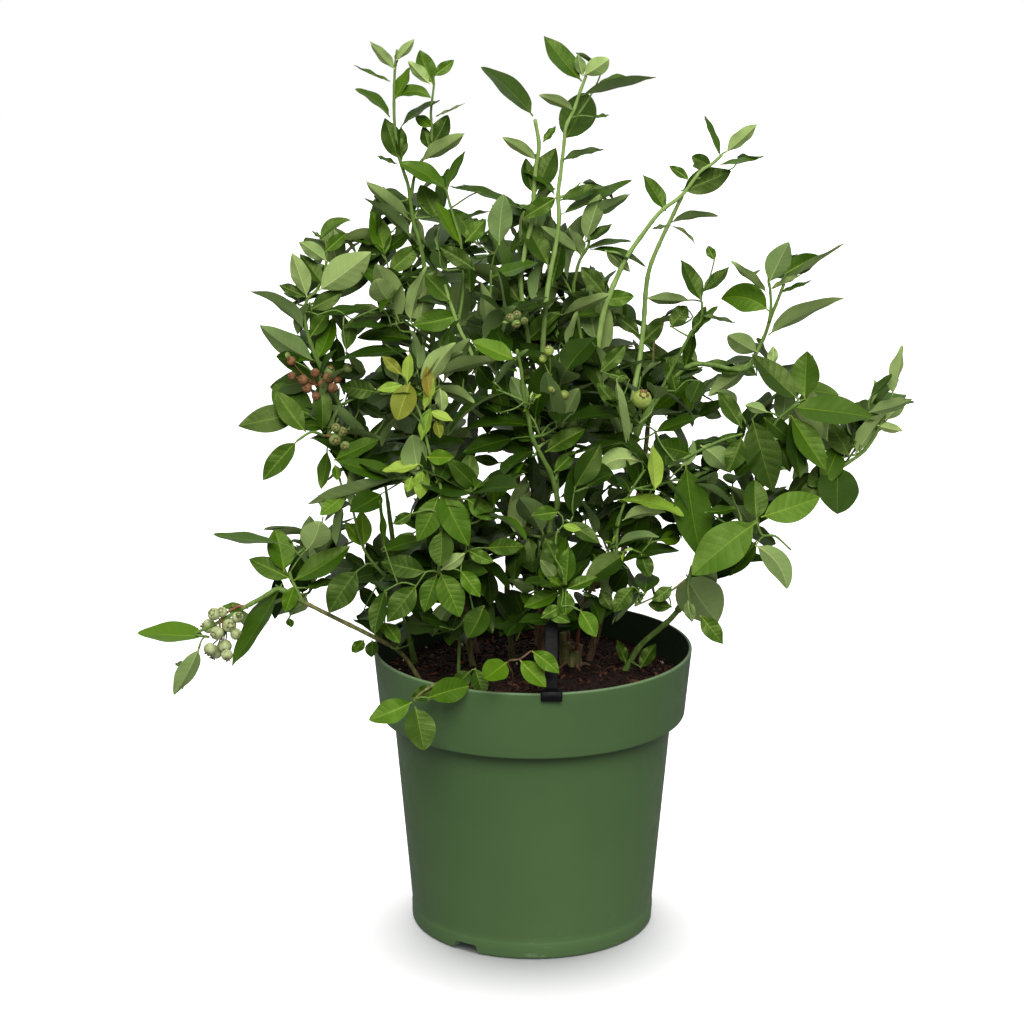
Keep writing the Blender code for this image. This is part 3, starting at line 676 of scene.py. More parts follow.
mix = build_mix().build(
    "mix_surface",
    [
        mix_material("mix dark peat", [(0.0, linear(16, 11, 9)), (0.55, linear(33, 22, 17)), (1.0, linear(58, 36, 27))]),
        mix_material("mix brown crumb", [(0.0, linear(36, 22, 16)), (1.0, linear(70, 44, 32))]),
        mix_material("mix bark chip", [(0.0, linear(56, 31, 22)), (0.6, linear(88, 50, 35)), (1.0, linear(116, 72, 50))], (0.65, 0.85)),
        mix_material("mix dark chip", [(0.0, linear(30, 20, 16)), (1.0, linear(60, 40, 30))], (0.7, 0.9)),
        mix_material("mix pale grain", [(0.0, linear(168, 162, 146)), (1.0, linear(206, 202, 190))], (0.7, 0.9)),
    ],
    smooth=False,
)
flags = np.zeros(len(mix.data.polygons), bool)
flags[: 62 * 168] = True
mix.data.polygons.foreach_set("use_smooth", flags)
stand_for(mix, "potting_mix", "potting_mix")

# ---------------------------------------------------------------- label clip
CLIP_X, CLIP_TOP, CLIP_LEAN, CLIP_T = 0.0118, 0.290, 0.034, 0.0016


def build_clip():
    """A ribbed strip that leans in from the rim, and the wider hook over it, both with soft edges."""
    soup = Soup()
    flat = (band_radius(SOIL_EDGE) - WALL) * math.cos(math.pi / 32)
    back = -(math.sqrt(flat**2 - (CLIP_X + 0.0145 / 2) ** 2) - 0.0004)
    outer = -RIM_RADIUS - 0.0004
    t = CLIP_T

    def ribbon(route, half, rib, ends):
        """A strip swept along a route of (y, z, thickness), its cross section rounded and ribbed down the middle."""
        route = np.array(route)
        path = np.stack([np.full(len(route), CLIP_X), route[:, 0], route[:, 1]], -1)
        tangents = unit(np.gradient(path, axis=0))
        across = np.array((1.0, 0.0, 0.0))
        normal = np.cross(tangents, across)
        h = route[:, 2] / 2
        cross = [(-1.0, 0.25), (-0.93, 0.85), (-0.80, 1.0), (-0.62, 0.62), (0.62, 0.62), (0.80, 1.0), (0.93, 0.85), (1.0, 0.25), (1.0, -0.4), (0.93, -1.0), (-0.93, -1.0), (-1.0, -0.4)]
        if not rib:
            cross = [(-1.0, 0.3), (-0.94, 0.85), (-0.86, 1.0), (-0.5, 1.0), (0.5, 1.0), (0.86, 1.0), (0.94, 0.85), (1.0, 0.3), (1.0, -0.4), (0.94, -1.0), (-0.94, -1.0), (-1.0, -0.4)]
        widths = half * np.array(ends)
        rows, sides = len(path), len(cross)
        points = np.array([[path[i] + across * (c[0] * widths[i]) + normal[i] * (c[1] * h[i]) for c in cross] for i in range(rows)])
        i, j = np.meshgrid(np.arange(rows - 1), np.arange(sides), indexing="ij")
        k = (j + 1) % sides
        quads = np.stack([i * sides + j, (i + 1) * sides + j, (i + 1) * sides + k, i * sides + k], -1).reshape(-1, 4)
        caps = [[0, a, a + 1] for a in range(1, sides - 1)] + [[(rows - 1) * sides, (rows - 1) * sides + a + 1, (rows - 1) * sides + a] for a in range(1, sides - 1)]
        soup.add(points.reshape(-1, 3), quads, 0, caps, 0)

    foot = float(soil_height(-back - 2 * t)) - 0.004
    middle = back + t / 2
    route = [(middle, foot, t), (middle, 0.190, t), (middle, POT_HEIGHT - 0.002, t), (middle + 0.0008, POT_HEIGHT + 0.002, t)]
    for share in np.linspace(0.06, 1.0, 16):
        route.append((middle + CLIP_LEAN * share, POT_HEIGHT + (CLIP_TOP - POT_HEIGHT) * share, t))
    ends = [1.0] * (len(route) - 2) + [0.96, 0.70]
    ribbon(route, 0.0085 / 2, True, ends)
    top = POT_HEIGHT + 0.0004 + t / 2
    hook = [(back + 0.0004, POT_HEIGHT - 0.0055, t), (back + 0.0002, POT_HEIGHT - 0.002, t), (back - 0.0001, POT_HEIGHT + 0.0002, t), (back - 0.0010, top - 0.0003, t), (back - 0.0022, top, t)]
    hook += [(outer + 0.0014, top, t), (outer + 0.0002, top - 0.0003, t), (outer - t * 0.42, POT_HEIGHT - 0.0006, t), (outer - t / 2, POT_HEIGHT - 0.0025, t), (outer - t / 2, POT_HEIGHT - 0.0048, t)]
    ribbon(hook, 0.0145 / 2, False, [1.0] * 8 + [1.0, 0.97])
    return soup


def clip_material():
    n = Nodes("clip black plastic")
    n.link(n.blend(n.spread(n.noise(120.0, 3.0), 0.3, 0.7), [(0.0, linear(6, 6, 7)), (1.0, linear(12, 12, 13))]), n.shader.inputs["Base Color"])
    n.link(n.spread(n.noise(260.0, 3.0), 0.3, 0.7, 0.40, 0.55), n.shader.inputs["Roughness"])
    n.link(n.bump(n.noise(900.0, 2.0), 0.00006, 0.6), n.shader.inputs["Normal"])
    n.set(Specular_IOR_Level=0.10)
    return n.mat


clip = build_clip().build("clip_strip", [clip_material()])
clip.data.set_sharp_from_angle(angle=math.radians(35))
stand_for(clip, "clip_plastic", "label_clip")


# ---------------------------------------------------------------- limbs
def bark_material(name, stops, rough=(0.6, 0.8), groove=0.0004, shine=0.3):
    n = Nodes(name)
    along = n.stretch(1.0, 1.0, 0.16)
    streak = n.noise(420.0, 4.0, 0.62, along)
    n.link(n.blend(n.spread(streak, 0.28, 0.74), stops), n.shader.inputs["Base Color"])
    n.link(n.spread(streak, 0.3, 0.7, *rough), n.shader.inputs["Roughness"])
    fine = n.bump(n.noise(1200.0, 2.0, 0.6), 0.0001, 0.5)
    n.link(n.bump(streak, groove, 0.7, fine), n.shader.inputs["Normal"])
    n.set(Specular_IOR_Level=shine)
    return n.mat


WOOD = [
    bark_material("bark old", [(0.0, linear(62, 44, 32)), (0.5, linear(104, 80, 58)), (1.0, linear(146, 122, 92))]),
    bark_material("bark green brown", [(0.0, linear(78, 74, 40)), (0.5, linear(104, 104, 58)), (1.0, linear(138, 132, 82))], (0.5, 0.7), 0.00025),
    bark_material("shoot green", [(0.0, linear(78, 104, 44)), (0.5, linear(98, 126, 56)), (1.0, linear(116, 144, 70))], (0.46, 0.62), 0.00008, 0.2),
    bark_material("shoot pale", [(0.0, linear(118, 146, 72)), (0.5, linear(136, 164, 88)), (1.0, linear(154, 180, 106))], (0.46, 0.62), 0.00008, 0.2),
    bark_material("shoot red", [(0.0, linear(104, 60, 44)), (0.5, linear(132, 84, 58)), (1.0, linear(158, 112, 76))], (0.45, 0.6), 0.0001, 0.35),
]
OLD, MIDDLE, GREEN, PALE, RED = range(5)

SKELETON = []  # (points, radii) that leaves and twigs can grow from
SHOOTS = {}  # the traced shoots by name


def remember(path, radii):
    SKELETON.append((np.asarray(path), np.broadcast_to(np.asarray(radii, float), (len(path),))))


def soil_foot(x, y):
    return (x, y, float(soil_surface(x, y)) - 0.003)


def woody(path, r0, r1, gen, sides=18):
    """Radii and relief of an old stem: ridges that run along it and a swell at each old joint; the canes' loop adds a
    flare at the foot.
    """
    rows = len(path)
    turn = np.arange(sides) * math.tau / sides
    along = np.concatenate([[0], np.cumsum(np.linalg.norm(np.diff(path, axis=0), axis=1))])
    radii = r0 + (r1 - r0) * (along / along[-1])
    for joint in np.arange(gen.uniform(0.012, 0.03), along[-1], gen.uniform(0.026, 0.036)):
        radii = radii * (1 + 0.13 * np.exp(-(((along - joint) / 0.0022) ** 2)))
    relief = np.ones((rows, sides))
    for wave, size, drift in ((3, 0.055, 22.0), (5, 0.045, -31.0), (8, 0.030, 48.0)):
        relief += size * np.sin(wave * turn[None, :] + gen.uniform(0, math.tau) + along[:, None] * drift + 0.8 * np.sin(along[:, None] * 160 + wave))
    relief += gen.normal(0, 0.016, (rows, sides))
    return radii, relief


CANES = {
    "cane_left": ([(-0.084, 0.022), (-0.088, 0.020, 0.200), (-0.092, 0.018, 0.222), (-0.096, 0.012, 0.250), (-0.100, 0.005, 0.290)], 0.0024, 0.0020, [(-0.104, 0.002, 0.325)]),
    "cane_left_arm": ([(-0.074, -0.028), (-0.092, -0.034, 0.206), (-0.115, -0.040, 0.222), (-0.140, -0.043, 0.236), (-0.165, -0.045, 0.250)], 0.0019, 0.0018, []),
    "cane_inner_left": ([(-0.042, 0.004), (-0.046, 0.002, 0.205), (-0.050, 0.000, 0.230), (-0.053, -0.006, 0.262), (-0.055, -0.012, 0.300)], 0.0026, 0.0021, [(-0.060, -0.008, 0.340)]),
    "cane_centre_left": ([(-0.014, 0.014), (-0.016, 0.014, 0.205), (-0.018, 0.015, 0.240), (-0.014, 0.018, 0.280), (-0.010, 0.020, 0.330)], 0.0026, 0.0022, [(-0.014, 0.014, 0.360)]),
    "cane_centre": ([(0.014, 0.020), (0.012, 0.020, 0.205), (0.010, 0.022, 0.240), (0.008, 0.026, 0.280), (0.006, 0.030, 0.330)], 0.0030, 0.0024, [(0.006, 0.022, 0.365)]),
    "cane_centre_front": ([(0.008, -0.014), (0.006, -0.018, 0.205), (0.007, -0.023, 0.230), (0.010, -0.030, 0.262), (0.012, -0.038, 0.300)], 0.0026, 0.0022, []),
    "cane_inner_right": ([(0.040, 0.016), (0.046, 0.016, 0.205), (0.052, 0.014, 0.235), (0.058, 0.008, 0.270), (0.064, 0.000, 0.310)], 0.0028, 0.0023, [(0.066, 0.002, 0.345)]),
    "cane_right": ([(0.065, 0.004), (0.076, 0.001, 0.200), (0.091, -0.004, 0.216), (0.102, -0.010, 0.230), (0.116, -0.022, 0.258)], 0.0025, 0.0023, []),
    "cane_back_left": ([(-0.040, 0.045), (-0.046, 0.054, 0.205), (-0.052, 0.064, 0.232), (-0.058, 0.076, 0.262), (-0.064, 0.088, 0.300)], 0.0027, 0.0022, [(-0.074, 0.104, 0.345), (-0.082, 0.118, 0.395)]),
    "cane_back_right": ([(0.042, 0.048), (0.050, 0.056, 0.205), (0.060, 0.064, 0.232), (0.070, 0.074, 0.262), (0.080, 0.084, 0.300)], 0.0028, 0.0023, [(0.086, 0.100, 0.350), (0.090, 0.112, 0.410)]),
    "cane_back": ([(0.004, 0.056), (0.004, 0.062, 0.205), (0.003, 0.066, 0.235), (0.002, 0.066, 0.265), (0.000, 0.060, 0.310)], 0.0026, 0.0022, [(-0.004, 0.056, 0.355), (-0.006, 0.058, 0.395)]),
}
CANE_BARK = {"cane_left_arm": MIDDLE, "cane_right": GREEN, "cane_left": GREEN, "cane_inner_left": MIDDLE, "cane_centre_left": MIDDLE}

gen = np.random.default_rng(7)
for name, (points, r0, r1, more) in CANES.items():
    points = [soil_foot(*points[0]), *points[1:], *more]
    path = smooth_path(points, 0.0017)
    radii, relief = woody(path, r0 * 0.84, r1 * 0.78, gen)
    if more:
        beyond = np.clip((path[:, 2] - points[-1 - len(more)][2]) / (points[-1][2] - points[-1 - len(more)][2]), 0, 1)
        radii = radii * (1 - 0.55 * beyond)
    radii[:8] *= np.linspace(1.18, 1.0, 8)
    soup = Soup()
    bark = CANE_BARK.get(name, OLD)
    tube(soup, path, radii, 18, bark, relief)
    if bark == OLD:  # the bark turns greener above the first joints
        rows = len(path)
        place = np.repeat(np.arange(rows - 1), 18)
        edge = rows * 0.62 + 5 * np.sin(np.tile(np.arange(18), rows - 1) * 1.3)
        soup.quad_slots = [np.where(place > edge, MIDDLE, OLD)]
    stand_for(soup.build("bark_" + name, WOOD), "bark", name)
    remember(path[::3], radii[::3])

# The woody crown: a knuckle of old wood with pruned stubs and a few roots.
soup = Soup()
gen = np.random.default_rng(9)
crown = np.array((0.027, 0.005))
for k in range(7):
    angle = k * 2.4 + 0.4
    reach = gen.uniform(0.0025, 0.0062)
    x, y = crown + reach * np.array((math.cos(angle), math.sin(angle)))
    base = np.array((x, y, float(soil_surface(x, y)) - 0.004))
    tip = np.array((crown[0] + reach * 1.25 * math.cos(angle), crown[1] + reach * 1.25 * math.sin(angle), 0.1865 + gen.uniform(0.008, 0.026)))
    path = smooth_path([base, (base + tip) / 2 + gen.normal(0, 0.0008, 3), tip], 0.0012)
    radii, relief = woody(path, gen.uniform(0.0032, 0.0044), gen.uniform(0.0020, 0.0030), gen, 12)
    tube(soup, path, radii, 12, MIDDLE if k % 3 else OLD, relief, round_end=False)
for k in range(5):
    angle = k * 1.26 + 0.2
    direction = np.array((math.cos(angle), math.sin(angle)))
    way = [crown + direction * d for d in (0.004, 0.008, 0.012, 0.017)]
    heights = [0.004, 0.0012, 0.0006, -0.0020]
    path = smooth_path([(w[0], w[1], float(soil_surface(w[0], w[1])) + h) for w, h in zip(way, heights)], 0.0015)
    radii, relief = woody(path, 0.0016, 0.0006, gen, 10)
    tube(soup, path, radii, 10, OLD, relief)
stand_for(soup.build("bark_woody_crown", WOOD), "bark", "woody_crown")

# Shoots traced on the photograph: (points before, picture points, depths, radii, bark, node that they stand for)
TRACED = {
    "spire_left": ([(-0.060, -0.008, 0.340), (-0.066, 0.002, 0.385), (-0.070, 0.010, 0.425)], [(424, 265), (419, 240), (414, 225), (411, 205), (408, 185), (400, 160), (395, 130), (394, 100), (395, 69), (397, 50)], (0.011, 0.015), (0.0022, 0.0008), GREEN, "bough_spire_left"),
    "spire_left_fork": ([], [(411, 200), (414, 178), (420, 163), (430, 150), (432, 130), (431, 112), (434, 84), (433, 76)], (0.013, 0.022), (0.0012, 0.0007), GREEN, None),
    "inner_light": ([(-0.014, 0.014, 0.360), (-0.030, -0.006, 0.378)], [(480, 387), (472, 355), (460, 330), (452, 308), (445, 285)], (-0.020, -0.012), (0.0019, 0.0011), PALE, None),
    "inner_light_left": ([], [(458, 325), (463, 290), (461, 245), (456, 225), (450, 205), (446, 188)], (-0.014, 0.004), (0.0012, 0.0008), GREEN, None),
    "inner_light_right": ([], [(473, 357), (486, 332), (490, 302), (491, 270)], (-0.016, -0.004), (0.0012, 0.0008), GREEN, None),
    "spire_mid": ([(0.006, 0.022, 0.365), (-0.002, 0.014, 0.410)], [(521, 290), (522, 270), (526, 245), (532, 220), (534, 192), (536, 167), (539, 145), (535, 120)], (0.006, 0.004), (0.0020, 0.0013), PALE, None),
    "spire_centre": ([(0.006, 0.022, 0.365), (0.006, 0.010, 0.400)], [(545, 312), (550, 275), (555, 250), (559, 220), (558, 195), (561, 170), (564, 145), (566, 127), (574, 110), (580, 92), (586, 76)], (0.002, 0.000), (0.0022, 0.0010), PALE, None),
    "spire_centre_right": ([(0.066, 0.002, 0.345), (0.048, 0.006, 0.385), (0.036, 0.010, 0.410)], [(574, 295), (576, 275), (580, 260), (589, 243), (586, 220), (590, 200)], (0.010, 0.006), (0.0017, 0.0009), GREEN, None),
    "spire_right": ([(0.066, 0.002, 0.345), (0.052, 0.000, 0.375), (0.044, 0.000, 0.400)], [(602, 320), (611, 292), (616, 280), (627, 257), (642, 235), (660, 212), (682, 195), (700, 172), (712, 164), (722, 155)], (0.000, 0.000), (0.0027, 0.0010), PALE, "bough_spire_right"),
    "spire_right_inner": ([(0.066, 0.002, 0.345), (0.070, 0.012, 0.380), (0.0745, 0.019, 0.405)], [(644, 320), (646, 290), (650, 267), (660, 242), (672, 217), (682, 196)], (0.020, 0.002), (0.0021, 0.0013), PALE, "bough_spire_right_inner"),
    "shoulder_right": ([(0.064, 0.000, 0.310), (0.070, 0.010, 0.345), (0.085, 0.012, 0.375), (0.110, 0.012, 0.401)], [(742, 370), (755, 355), (765, 335), (770, 320), (777, 302), (784, 284)], (0.012, 0.010), (0.0027, 0.0010), GREEN, "bough_shoulder_right"),
    "shoulder_right_tip": ([], [(769, 322), (771, 305), (769, 280), (766, 266)], (0.010, 0.014), (0.0012, 0.0007), GREEN, None),
    "shoulder_right_side": ([(0.085, 0.012, 0.375)], [(690, 335), (701, 320), (702, 302)], (0.004, 0.002), (0.0014, 0.0008), GREEN, None),
    "shoulder_left": ([(-0.104, 0.002, 0.325), (-0.116, 0.000, 0.350)], [(345, 415), (335, 395), (317, 360), (310, 342), (305, 320), (307, 300), (317, 290), (325, 270), (327, 252), (325, 240)], (-0.006, 0.000), (0.0024, 0.0008), GREEN, None),
    "side_left": ([], [(340, 405), (330, 425), (327, 436), (312, 432), (297, 441)], (-0.008, -0.030), (0.0014, 0.0008), GREEN, None),
    "arm_right": ([(0.064, -0.004, 0.300), (0.076, -0.030, 0.312), (0.088, -0.040, 0.320), (0.108, -0.040, 0.333), (0.128, -0.038, 0.343), (0.150, -0.034, 0.351), (0.172, -0.031, 0.357), (0.194, -0.029, 0.350)], [(837, 467), (852, 460), (865, 450), (877, 432), (892, 397)], (-0.027, -0.025), (0.0030, 0.0008), GREEN, "bough_arm_right"),
    "arm_right_whorl": ([(0.160, -0.033, 0.354)], [(776, 422), (797, 404)], (-0.036, -0.042), (0.0015, 0.0009), GREEN, None),
    "arm_right_front": ([(0.098, -0.040, 0.327)], [(659, 474), (697, 452), (720, 441), (742, 434)], (-0.050, -0.052), (0.0014, 0.0008), GREEN, None),
    "right_cane_on": ([(0.102, -0.010, 0.230), (0.116, -0.022, 0.258)], [(697, 560), (712, 545), (735, 532), (757, 521)], (-0.040, -0.068), (0.0026, 0.0012), GREEN, None),
    "right_cane_twig": ([], [(757, 522), (762, 535), (775, 536), (791, 550)], (-0.068, -0.060), (0.0010, 0.0006), GREEN, None),
    "right_cane_down": ([], [(692, 566), (690, 574), (688, 590), (690, 604), (694, 614)], (-0.040, -0.062), (0.0011, 0.0007), GREEN, None),
    "crown_right_twig": ([(0.056, 0.004, 0.262), (0.056, -0.030, 0.272)], [(617, 562), (617, 535), (622, 510), (634, 486), (645, 470)], (-0.060, -0.062), (0.0014, 0.0008), GREEN, None),
    "low_left": ([(-0.165, -0.045, 0.250), (-0.175, -0.045, 0.2555), (-0.185, -0.045, 0.250), (-0.203, -0.045, 0.240), (-0.220, -0.045, 0.230), (-0.233, -0.045, 0.2235)], [(209, 637)], (-0.045, -0.045), (0.0021, 0.0009), GREEN, "bough_low_left"),
    "low_left_whorl": ([(-0.158, -0.0445, 0.246)], [(303, 602), (292, 580), (290, 572)], (-0.045, -0.045), (0.0016, 0.0009), GREEN, None),
    "low_left_back": ([], [(300, 600), (284, 592), (276, 585)], (-0.045, -0.043), (0.0010, 0.0007), GREEN, None),
    "front_on": ([(0.010, -0.030, 0.262), (0.012, -0.038, 0.300)], [(557, 508), (556, 492), (551, 474), (542, 457), (532, 437), (529, 420), (524, 395), (521, 370), (517, 350)], (-0.044, -0.066), (0.0024, 0.0011), GREEN, None),
    "front_whorl": ([(0.010, -0.030, 0.258)], [(562, 585), (564, 578)], (-0.090, -0.100), (0.0013, 0.0009), GREEN, None),
    "front_brown": ([(0.029, 0.002, 0.198), (0.031, -0.016, 0.206)], [(581, 612), (587, 597), (600, 577)], (-0.040, -0.055), (0.0013, 0.0008), RED, None),
    "group_low": ([(-0.053, -0.006, 0.262), (-0.058, -0.040, 0.268), (-0.062, -0.066, 0.272)], [(439, 571), (441, 540), (441, 490), (434, 470), (428, 446), (420, 414), (405, 384)], (-0.088, -0.070), (0.0017, 0.0008), GREEN, None),
    "left_mid": ([], [(440, 492), (420, 482), (398, 478), (370, 486), (346, 492), (336, 466)], (-0.080, -0.048), (0.0013, 0.0007), GREEN, None),
    "left_mid_low": ([(-0.096, 0.012, 0.250)], [(385, 575), (364, 549), (352, 507)], (-0.030, -0.048), (0.0014, 0.0008), GREEN, None),
    "pot_sprig": ([soil_foot(-0.020, -0.070), (-0.014, -0.092, 0.206)], [(508, 662), (520, 659), (531, 651)], (-0.108, -0.115), (0.0007, 0.0006), OLD, None),
    "drape": ([soil_foot(-0.0590, -0.066), (-0.0590, -0.0735, 0.190), (-0.0585, -0.0815, 0.2010), (-0.0590, -0.0905, 0.2046), (-0.0665, -0.100, 0.2044), (-0.0755, -0.108, 0.2010)], [(414, 701)], (-0.120, -0.120), (0.0012, 0.0008), MIDDLE, "bough_drape_front"),
    "low_front_left": ([soil_foot(-0.052, -0.040)], [(459, 650), (461, 625), (470, 612), (484, 606)], (-0.045, -0.080), (0.0014, 0.0007), GREEN, None),
    # low_right_twig has the darker green-brown bark: painted shade, as it stands in shade under the crown.
    "low_right_twig": ([], [(685, 580), (672, 590), (655, 597), (635, 606)], (-0.068, -0.074), (0.0008, 0.0006), MIDDLE, None),
    "lit_twig": ([], [(613, 562), (615, 542), (617, 522), (625, 504)], (-0.056, -0.060), (0.0010, 0.0007), GREEN, None),
    "rim_sprig": ([soil_foot(-0.044, -0.085)], [(469, 674)], (-0.088, -0.088), (0.0009, 0.0006), GREEN, None),
    "spire_back": ([(-0.006, 0.058, 0.392), (-0.012, 0.078, 0.430), (-0.018, 0.092, 0.455), (-0.022, 0.102, 0.480), (-0.025, 0.110, 0.498)], [], (0, 0), (0.0022, 0.0012), GREEN, "bough_spire_back"),
    "peduncle_left_tip": ([], [(248, 608), (240, 606), (228, 612), (220, 622), (222, 640)], (-0.045, -0.047), (0.0009, 0.0007), RED, None),
}
NO_NODE = Soup()
gen = np.random.default_rng(15)
for name, (before, seen, depths, (r0, r1), bark, node) in TRACED.items():
    points = list(before)
    count = max(1, len(seen) - 1)
    for index, (u, v) in enumerate(seen):
        points.append(spot(u, v, depths[0] + (depths[1] - depths[0]) * index / count))
    path = smooth_path(points, 0.0022)
    along = np.linspace(0, 1, len(path))
    radii = r0 + (r1 - r0) * along**0.85
    length = np.concatenate([[0], np.cumsum(np.linalg.norm(np.diff(path, axis=0), axis=1))])
    for joint in np.arange(0.008, length[-1], 0.0125):  # a slight knee at each leaf
        radii = radii * (1 + 0.16 * np.exp(-(((length - joint) / 0.0016) ** 2)))
    relief = 1 + 0.05 * np.sin(3 * np.arange(10)[None, :] * math.tau / 10 + length[:, None] * 60 + gen.uniform(0, 6)) + gen.normal(0, 0.012, (len(path), 10))
    target = Soup() if node else NO_NODE
    tube(target, path, radii, 10, bark, relief)
    if node:
        stand_for(target.build("bark_" + node, WOOD), "green_shoots", node)
    remember(path[::2], radii[::2])
    SHOOTS[name] = (path, radii)
TWIGS = NO_NODE

# ---------------------------------------------------------------- one leaf
RIB = 0.00042  # half width of the midrib near the foot of a leaf


def leaf_rows(count, fine):
    """Rows of a leaf's grid: (share of length, which side of a side vein, height of the relief)."""
    rows = [(0.0, 0, 0.0), (0.06, 0, 0.0)]
    veins = np.linspace(0.15, 0.86, count)
    before = 0.06
    for vein in veins:
        rows.append(((before + vein) / 2, 0, 1.0))
        if fine:
            rows += [(vein, -1, -1.0), (vein, 1, -1.0)]
        else:
            rows.append((vein, 0, -1.0))
        before = vein
    rows += [((before + 1.0) / 2, 0, 0.5), (1.0, 0, 0.0)]
    return np.array(rows)


def make_leaves(soup, leaves, fine):
    """Adds leaves as thin closed blades, top and underside apart, each with its own outline, midrib and side veins.

    leaves is a dict of arrays: foot, tip, up (the top's direction), width, bow, bend, fold, twist, wave, phase,
    veins (not used), top, under (material slots), round.
    """
    count = len(leaves["foot"])
    if not count:
        return None
    rows = leaf_rows(7 if fine else 5, fine)
    columns = np.array([-1, -0.62, -0.26, 0, 0, 0.26, 0.62, 1.0] if fine else [-1, -0.5, 0, 0, 0.5, 1.0])
    middle = len(columns) // 2
    side = np.sign(np.arange(len(columns)) - middle + 0.5)
    c = np.abs(columns)
    s0, vein, lift = rows[:, 0], rows[:, 1], rows[:, 2]
    slant = 0.15 * c[None, :] ** 0.9 * (4 * s0 * (1 - s0))[:, None] * (s0 > 0.061)[:, None]
    s = s0[:, None] + slant + vein[:, None] * 0.0062 * (1 - 0.85 * c[None, :])
    s = np.where((s0 > 0.061)[:, None] & (s0 < 0.999)[:, None], s, s0[:, None])
    s = s[None]  # (1, rows, columns)
    blade = np.clip((s - 0.06) / 0.94, 0, 1)
    full = 0.90 - 0.30 * leaves["round"][:, None, None]
    outline = np.sin(math.pi * blade ** (0.86 + 0.08 * leaves["round"][:, None, None])) ** full
    half = outline * leaves["width"][:, None, None] / 2
    half = np.maximum(half, np.where(s < 0.5, 0.00050, 0.00014))
    rib = np.minimum(RIB * (1 - 0.72 * s), 0.5 * half)
    across = side * (rib + (half - rib) * c)

    foot, tip = leaves["foot"], leaves["tip"]
    chord = tip - foot
    length = np.linalg.norm(chord, axis=1)
    along = chord / length[:, None]
    up = unit(leaves["up"] - along * (leaves["up"] * along).sum(1, keepdims=True))
    left = np.cross(along, up)  # runs across the blade

    def mid(x):
        return x[:, None, None, None]

    arch = 4 * s * (1 - s)
    centre = (
        foot[:, None, None]
        + chord[:, None, None] * s[..., None]
        + up[:, None, None] * (leaves["bow"] * length)[:, None, None, None] * arch[..., None]
        + left[:, None, None] * (leaves["bend"] * length)[:, None, None, None] * arch[..., None]
    )
    slope = 4 * (1 - 2 * s)
    tangent = unit(
        chord[:, None, None] / mid(length)
        + up[:, None, None] * mid(leaves["bow"]) * slope[..., None]
        + left[:, None, None] * mid(leaves["bend"]) * slope[..., None]
    )
    normal = unit(up[:, None, None] - tangent * (up[:, None, None] * tangent).sum(-1, keepdims=True))
    width_way = np.cross(tangent, normal)
    turn = (leaves["twist"][:, None, None] * (s - 0.35))[..., None]
    normal, width_way = normal * np.cos(turn) + width_way * np.sin(turn), width_way * np.cos(turn) - normal * np.sin(turn)
    fold = leaves["fold"][:, None, None]
    flat = np.abs(across)
    rise = (flat - 0.42 * half * leaves["level"][:, None, None]) * np.sin(fold)
    rise = rise + leaves["wave"][:, None, None] * c**2 * np.sin(2 * math.pi * (2.3 * s + leaves["phase"][:, None, None]) + side) * (half > 0.001)
    crest = np.where(c < 0.01, 0.25, np.where(c > 0.99, 0.18, 1.0)) * lift[:, None] * np.minimum(1.0, half / 0.006)
    rise = rise + crest * leaves["relief"][:, None, None]
    rise = rise - np.where(c < 0.01, 0.00022, 0.0) * (half > 0.0012)
    top = centre + width_way * (across * np.cos(fold))[..., None] + normal * rise[..., None]
    thick = 0.00030 * (1 - c**2) + np.where(c < 0.01, 0.00030, 0.0) * (half > 0.0012) + np.where(s < 0.07, 0.0004, 0.0)
    bottom = top - normal * np.where(c < 0.995, thick, np.where(s < 0.07, 0.0006, 0.0))[..., None]

    nr, nc = len(rows), len(columns)
    i, j = np.meshgrid(np.arange(nr - 1), np.arange(nc - 1), indexing="ij")
    up_faces = np.stack([i * nc + j, i * nc + j + 1, (i + 1) * nc + j + 1, (i + 1) * nc + j], -1).reshape(-1, 4)
    part = np.zeros((nr - 1, nc - 1), int)
    if fine:
        part[(vein[:-1] == -1) & (vein[1:] == 1)] = 1
    part[:, middle - 1] = 2
    part[0] = 2
    part = part.ravel()
    size = nr * nc
    points = np.stack([top, bottom], 1).reshape(-1, 3)
    start = (np.arange(count) * 2 * size)[:, None, None]
    quads = np.concatenate([up_faces[None] + start, up_faces[None][..., [0, 3, 2, 1]] + start + size], 1).reshape(-1, 4)
    slots = np.concatenate([leaves["top"][:, None] + part[None], leaves["under"][:, None] + part[None]], 1).reshape(-1)
    soup.add(points, quads, slots)
    return top


KEYS = ("foot", "tip", "up", "width", "bow", "bend", "fold", "level", "twist", "wave", "phase", "relief", "round", "top", "under")


def pack_leaves(items):
    return {key: np.array([item[key] for item in items], int if key in ("top", "under") else float) for key in KEYS}


# ---------------------------------------------------------------- traced leaves
# (depth, leaves): each leaf as foot u, v, tip u, v, seen width, kind, and a middle point where it is bent
HERO = []


def heroes(depth, text):
    """Reads leaves written as 'u v u v w kind [mu mv]' and parted by commas."""
    for item in text.replace("\n", " ").split(","):
        words = item.split()
        if not words:
            continue
        numbers = [float(w) for w in words if w[0] in "0123456789-."]
        kind = [w for w in words if w[0] in "dmbgyzp"][0]
        HERO.append((depth, numbers[:4], numbers[4], kind, numbers[5:7] if len(numbers) > 6 else None))


